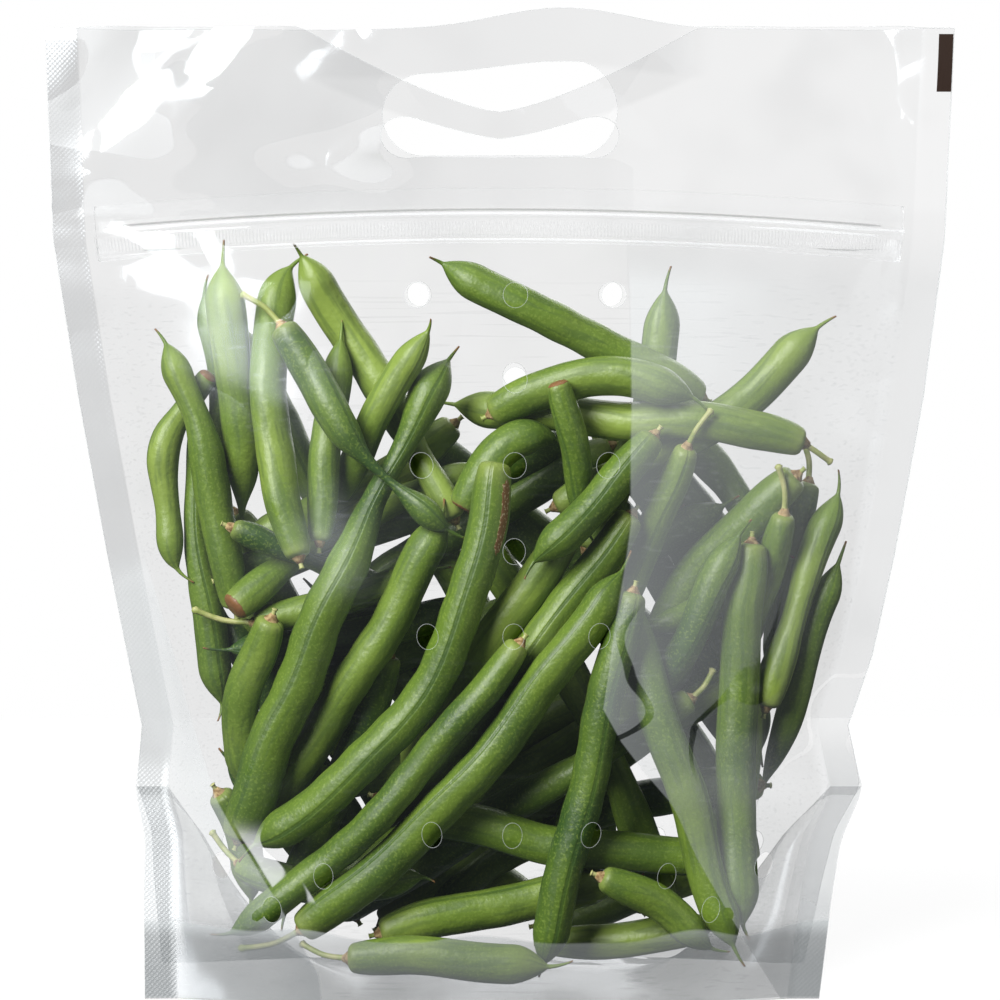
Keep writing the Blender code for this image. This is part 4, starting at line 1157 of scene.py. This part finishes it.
def front_veil(film, u, v):
    """How much greyer and how much whiter the front film is at each place, as painted reflections,
    shade, sheen and glints, and the double film at the foot.
    """
    wander = film.times(film.minus(film.noise(25, 0), 0.5), CREASE_WANDER)
    across_cut = film.plus(u, wander)
    short_of = film.minus(film.drawn(v, crease_on_cut(LEFT_CREASE)), across_cut)
    # Painted sheen: near the top, right of its line, the film shows less and reads lighter
    painted_sheen = film.minus(across_cut, film.drawn(v, crease_on_cut(RIGHT_SHEEN_EDGE)))
    painted_sheen = film.times(film.ramp(painted_sheen, 0, 0.004, 0, PAINTED_SHEEN), film.ramp(v, 0.80, 0.82))
    # At the foot the film lies double, and this veil is painted shade there as well
    foot_edge = film.plus(v, film.times(film.minus(film.noise(45, 0), 0.5), 0.03))
    foot_top = FOOT_TOP / FLAT_HEIGHT
    foot = film.ramp(foot_edge, foot_top - 0.002, foot_top + 0.002, FOOT_DOUBLE_AND_SHADE, 0)
    # Patches of painted shade and painted highlights over the upper left
    upper_left = film.times(film.ramp(v, 0.80, 0.81), film.ramp(u, 0.36, 0.44, 1, 0))
    patches = film.noise(26, 1, film.stretched((1, 1, 1.7)))
    shaded = film.times(film.ramp(patches, 0.50, 0.51, SHADED, 0), upper_left)
    bright = film.times(film.ramp(patches, 0.57, 0.58, 0, BRIGHT), upper_left)
    # A painted reflection: a pale band towards the left edge, below the top
    left_edge = film.times(film.ramp(u, 0.06, 0.22, LEFT_EDGE_REFLECTION, 0), film.ramp(v, 0.70, 0.75, 1, 0))
    folds = (right_veil(film, v, across_cut), left_veil(film, v, short_of), foot)
    grey = film.plus(*folds, painted_sheen, shaded, left_edge)
    return grey, film.plus(low_glint(film, v, short_of), bright)


front_clear_film = film_recipe("front_clear_film", front_veil)
clear_film = film_recipe("clear_film_finish")
# The folded bottom shows more low down, partly for the fold and partly as painted shade
folded_film = film_recipe("folded_film_finish", fold=0.30, glint=0.25)


# %% [markdown]
# ## From the flat cut to the pouch
# Each panel starts as the same punched layer. Every point of it is carried to where the filled
# pouch holds it, and keeps its place on the cut, so that the finish knows where the welds are.
# Light passes film almost whole, so the film is left out of what casts a shadow.


# %% Carry a layer to its place
def thin_piece(name, mesh):
    """A piece of film or zip, which holds back no light from the beans."""
    piece = new_object(name, mesh)
    piece.visible_shadow = piece.visible_diffuse = False
    print(f"{name}: {len(mesh.polygons)} faces")
    return piece


def formed(layer, name, place, side):
    """Carries a flat layer to its place and dresses it."""
    flat = np.array([vert.co[:] for vert in layer.verts])
    x, z = flat[:, 0], flat[:, 2]
    moved = np.stack(np.broadcast_arrays(*place(x, z)), axis=1)
    for vert, spot in zip(layer.verts, moved.tolist()):
        vert.co = spot
    unwrapped = layer.loops.layers.uv.new("cut")
    for face in layer.faces:
        for loop in face.loops:
            at = flat[loop.vert.index]
            loop[unwrapped].uv = (at[0] / (2 * FLAT_HALF_WIDTH) + 0.5, at[2] / FLAT_HEIGHT)
    if side > 0:
        bmesh.ops.reverse_faces(layer, faces=layer.faces[:])
    mesh = bpy.data.meshes.new(name)
    layer.to_mesh(mesh)
    mesh.materials.append(front_clear_film if side < 0 else clear_film)
    mesh.shade_smooth()
    piece = thin_piece(name, mesh)
    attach(piece, "root")
    return piece


film_layer.verts.index_update()
front_film = formed(film_layer.copy(), "front_film", front_place, -1)
back_film = formed(film_layer, "back_film", back_place, 1)
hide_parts("front_panel")
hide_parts("back_panel")

# %% [markdown]
# ## Cut edges
# A cut edge of clear film is the one place where the film shows as a line, because light that has
# run along inside it comes out there. A very thin bead along every open edge gives that line.

# %% Edge beads
edge = Recipe("cut_edge")
cut_edge = edge.give(Base_Color=(0.70, 0.73, 0.74), Roughness=0.25, Alpha=0.2)
EDGE_BEAD = 0.09 * MM


def open_edges(piece):
    """The loops of points along the open edges of a piece."""
    mesh = bmesh.new()
    mesh.from_mesh(piece.data)
    mesh.verts.ensure_lookup_table()
    following = {}
    for edge_of in mesh.edges:
        if edge_of.is_boundary:
            a, b = (vert.index for vert in edge_of.verts)
            following.setdefault(a, []).append(b)
            following.setdefault(b, []).append(a)
    loops, left = [], set(following)
    while left:
        start = min(left)
        loop, here, before = [start], following[start][0], start
        while here != start:
            loop.append(here)
            onward = [n for n in following[here] if n != before]
            before, here = here, onward[0]
        left -= set(loop)
        loops.append(np.array([mesh.verts[i].co[:] for i in loop]))
    mesh.free()
    return loops


def beads(piece, name):
    """A thin round bead along each open edge of a film piece."""
    curve = bpy.data.curves.new(name, "CURVE")
    curve.dimensions = "3D"
    curve.bevel_depth = EDGE_BEAD
    curve.bevel_resolution = 1
    for loop in open_edges(piece):
        spline = curve.splines.new("POLY")
        spline.points.add(len(loop) - 1)
        spline.points.foreach_set("co", np.column_stack((loop, np.ones(len(loop)))).ravel())
        spline.use_cyclic_u = True
    holder = bpy.data.objects.new(name, curve)
    mesh = bpy.data.meshes.new_from_object(holder)
    bpy.data.objects.remove(holder)
    mesh.materials.clear()
    mesh.materials.append(cut_edge)
    made = thin_piece(name, mesh)
    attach(made, "root")
    return made


front_edges = beads(front_film, "front_film_edges")
back_edges = beads(back_film, "back_film_edges")

# %% [markdown]
# ## The folded bottom
# The bottom is a separate strip of film, folded once along its middle and welded to both panels.
# Filled, it opens into a saddle: flat on the ground in the middle, rising to the notch at each
# side. It is one grid of points, folded by a formula, with the same film finish.

# %% Bottom gusset
GUSSET_ROWS = 33
SLOPE_POWER, WELD_POWER = 2.4, 8


def gusset_place(x, fold):
    share = np.clip(np.abs(x) / INNER_HALF_WIDTH, 0, 1)
    sloping = np.clip((share - GUSSET_FLAT_SHARE) / (1 - GUSSET_FLAT_SHARE), 0, 1) ** SLOPE_POWER
    height = GUSSET_RISE * (1 - np.abs(fold)) * sloping
    base = half_depth(share, 0) - GUSSET_GAP
    pressed = half_depth(share, height) - GUSSET_GAP
    beside_weld = share**WELD_POWER
    depth = (1 - beside_weld) * fold * base + beside_weld * np.sign(fold) * pressed
    return across(x, height), depth, height + FILM_MIDDLE


def grid_mesh(name, places):
    """A mesh of four-sided faces over a grid of points, and its faces' corners."""
    wide, high = places.shape[:2]
    faces = [
        (i * high + j, (i + 1) * high + j, (i + 1) * high + j + 1, i * high + j + 1)
        for i in range(wide - 1)
        for j in range(high - 1)
    ]
    mesh = bpy.data.meshes.new(name)
    mesh.from_pydata(places.reshape(-1, 3).tolist(), [], faces)
    return mesh, np.array(faces).ravel()


def make_gusset():
    kept = (-INNER_HALF_WIDTH, 0.0, INNER_HALF_WIDTH)
    columns = grid_lines(-FLAT_HALF_WIDTH, FLAT_HALF_WIDTH, kept)
    x, fold = np.meshgrid(columns, np.linspace(-1, 1, GUSSET_ROWS), indexing="ij")
    places = np.stack(np.broadcast_arrays(*gusset_place(x, fold)), axis=-1)
    mesh, corners = grid_mesh("gusset_film", places)
    unwrapped = mesh.uv_layers.new(name="cut")
    flat = np.column_stack((x.ravel() / (2 * FLAT_HALF_WIDTH) + 0.5, (fold.ravel() + 1) / 2))
    unwrapped.data.foreach_set("uv", flat[corners].astype(np.float32).ravel())
    mesh.materials.append(folded_film)
    mesh.shade_smooth()
    return thin_piece("gusset_film", mesh)


gusset_film = make_gusset()
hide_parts("bottom_gusset")
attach(gusset_film, "root")

# %% [markdown]
# ## The zip
# The zip is two extruded strips. The one on the front has a rib, the one on the back has claws that
# grip it, and each sits on a tape that is sealed to its panel. Through the film they read as long
# thin bright lines, and the pressing wheel has left a row of short marks below them. The packed
# strips have flat-sided ridges, so finer ones take their place here: one section, with rounded
# ridges, swept along the film's own inner face and crushed flat towards the side welds.

# %% Zip finish
ZIP_HALF_HEIGHT = 7 * MM
MARKS_ACROSS, MARK_HEIGHT, MARK_SHARE = 1650.0, 0.2 * MM, 0.05
BARE_ZIP, ZIP_GLINT = 0.01, 0.4

strip = Recipe("clear_zip")
strip_u, strip_v = strip.unwrapped()
marks = strip.ramp(strip.math("SINE", strip.times(strip_u, MARKS_ACROSS)), 0.1, 0.9)
marked = strip.times(strip.ramp(strip_v, 0.12, 0.17), strip.ramp(strip_v, 0.36, 0.41, 1, 0))
marks = strip.times(marks, marked)
strip.bump(marks, MARK_HEIGHT, 0.4)
glance = strip.node("ShaderNodeLayerWeight")
glance.inputs["Blend"].default_value = 0.3
shown = strip.times(glance.outputs["Fresnel"], ZIP_GLINT)
clear_zip = strip.give(
    Base_Color=(0.90, 0.92, 0.93),
    Metallic=0.15,
    Roughness=0.15,
    Alpha=strip.plus(BARE_ZIP, shown, strip.times(marks, MARK_SHARE)),
)

# %% Zip strips
ZIP_DROOP = 5 * MM
ZIP_MIDDLE = 196 * MM
ZIP_HALF_LENGTH = 104 * MM
ZIP_TAPE = 0.2 * MM
ZIP_OFF_FILM = 0.25 * MM
CRUSHED_ENDS = 9 * MM
ZIP_STATIONS = 131
RIDGED_POINTS, FLAT_POINTS = 71, 9

# Each ridge stands at a height above the strip's middle and has a reach and a half width
RIB_RIDGES = ((2.6, 0.45, 0.35), (1.0, 1.2, 0.55), (-0.7, 0.45, 0.35), (-5.7, 0.4, 0.3))
CLAW_RIDGES = ((2.0, 1.0, 0.4), (0.0, 1.0, 0.4), (-4.6, 0.35, 0.3))


def zip_ring(x, ridges, place, inward):
    """One cross section of a strip: along its ridged face and back along its flat one."""
    ups = np.concatenate((np.linspace(-1, 1, RIDGED_POINTS), np.linspace(1, -1, FLAT_POINTS)))
    z = ZIP_MIDDLE - ZIP_DROOP * (x / INNER_HALF_WIDTH) ** 2 + ups * ZIP_HALF_HEIGHT
    crushed = np.clip((ZIP_HALF_LENGTH - abs(x)) / CRUSHED_ENDS, 0.1, 1)
    heights = ups * ZIP_HALF_HEIGHT / MM
    reach = sum(h * MM * np.exp(-(((heights - up) / w) ** 2)) for up, h, w in ridges)
    reach = np.where(np.arange(len(ups)) < RIDGED_POINTS, ZIP_TAPE + reach * crushed, 0)
    px, py, pz = np.broadcast_arrays(*place(np.full(len(ups), x), z))
    return np.stack((px, py + inward * (ZIP_OFF_FILM + reach), pz), axis=1), (ups + 1) / 2


def zip_strip(name, node, ridges, place, inward):
    columns = np.linspace(-ZIP_HALF_LENGTH, ZIP_HALF_LENGTH, ZIP_STATIONS)
    on_cut = columns / (2 * FLAT_HALF_WIDTH) + 0.5
    rings = [zip_ring(x, ridges, place, inward) for x in columns]
    sides = len(rings[0][0])
    faces, places = [], []
    for i in range(len(columns) - 1):
        left, right = on_cut[i], on_cut[i + 1]
        for k in range(sides):
            n = (k + 1) % sides
            faces.append((i * sides + k, i * sides + n, (i + 1) * sides + n, (i + 1) * sides + k))
            low, high = rings[i][1][k], rings[i][1][n]
            places += [(left, low), (left, high), (right, high), (right, low)]
    for end in (0, len(columns) - 1):
        faces.append(tuple(end * sides + k for k in range(sides)))
        places += [(on_cut[end], float(up)) for up in rings[end][1]]
    mesh = bpy.data.meshes.new(name)
    mesh.from_pydata(np.concatenate([ring for ring, _ in rings]).tolist(), [], faces)
    unwrapped = mesh.uv_layers.new(name="cut")
    unwrapped.data.foreach_set("uv", np.array(places, np.float32).ravel())
    mesh.materials.append(clear_zip)
    mesh.shade_smooth()
    closed = bmesh.new()
    closed.from_mesh(mesh)
    bmesh.ops.recalc_face_normals(closed, faces=closed.faces[:])
    closed.to_mesh(mesh)
    piece = thin_piece(name, mesh)
    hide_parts(node)
    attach(piece, "root")


zip_strip("zip_rib", "zip_rib_strip", RIB_RIDGES, front_place, 1)
zip_strip("zip_claws", "zip_groove_strip", CLAW_RIDGES, back_place, -1)

# %% [markdown]
# ## The dark bar
# Film printed on a roll carries a small dark bar at its edge, which tells the cutter where to cut.
# Here it is a plain patch on the front panel's right weld, just under the rim.

# %% Register bar
bar_ink = Recipe("bar_ink").give(Base_Color=(0.035, 0.020, 0.014), Roughness=0.35)
BAR_X = (110.6 * MM, 114.3 * MM)
BAR_Z = (227 * MM, 241.5 * MM)
BAR_OFF_FILM = 0.12 * MM


def make_bar():
    x, z = np.meshgrid(np.linspace(*BAR_X, 4), np.linspace(*BAR_Z, 9), indexing="ij")
    px, py, pz = np.broadcast_arrays(*front_place(x, z))
    mesh, _ = grid_mesh("register_bar", np.stack((px, py - BAR_OFF_FILM, pz), axis=-1))
    mesh.materials.append(bar_ink)
    piece = new_object("register_bar", mesh)
    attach(piece, "root")


make_bar()

# %% [markdown]
# ## The end
# Last, the scene is brought up to date.

# %% The end
bpy.context.view_layer.update()
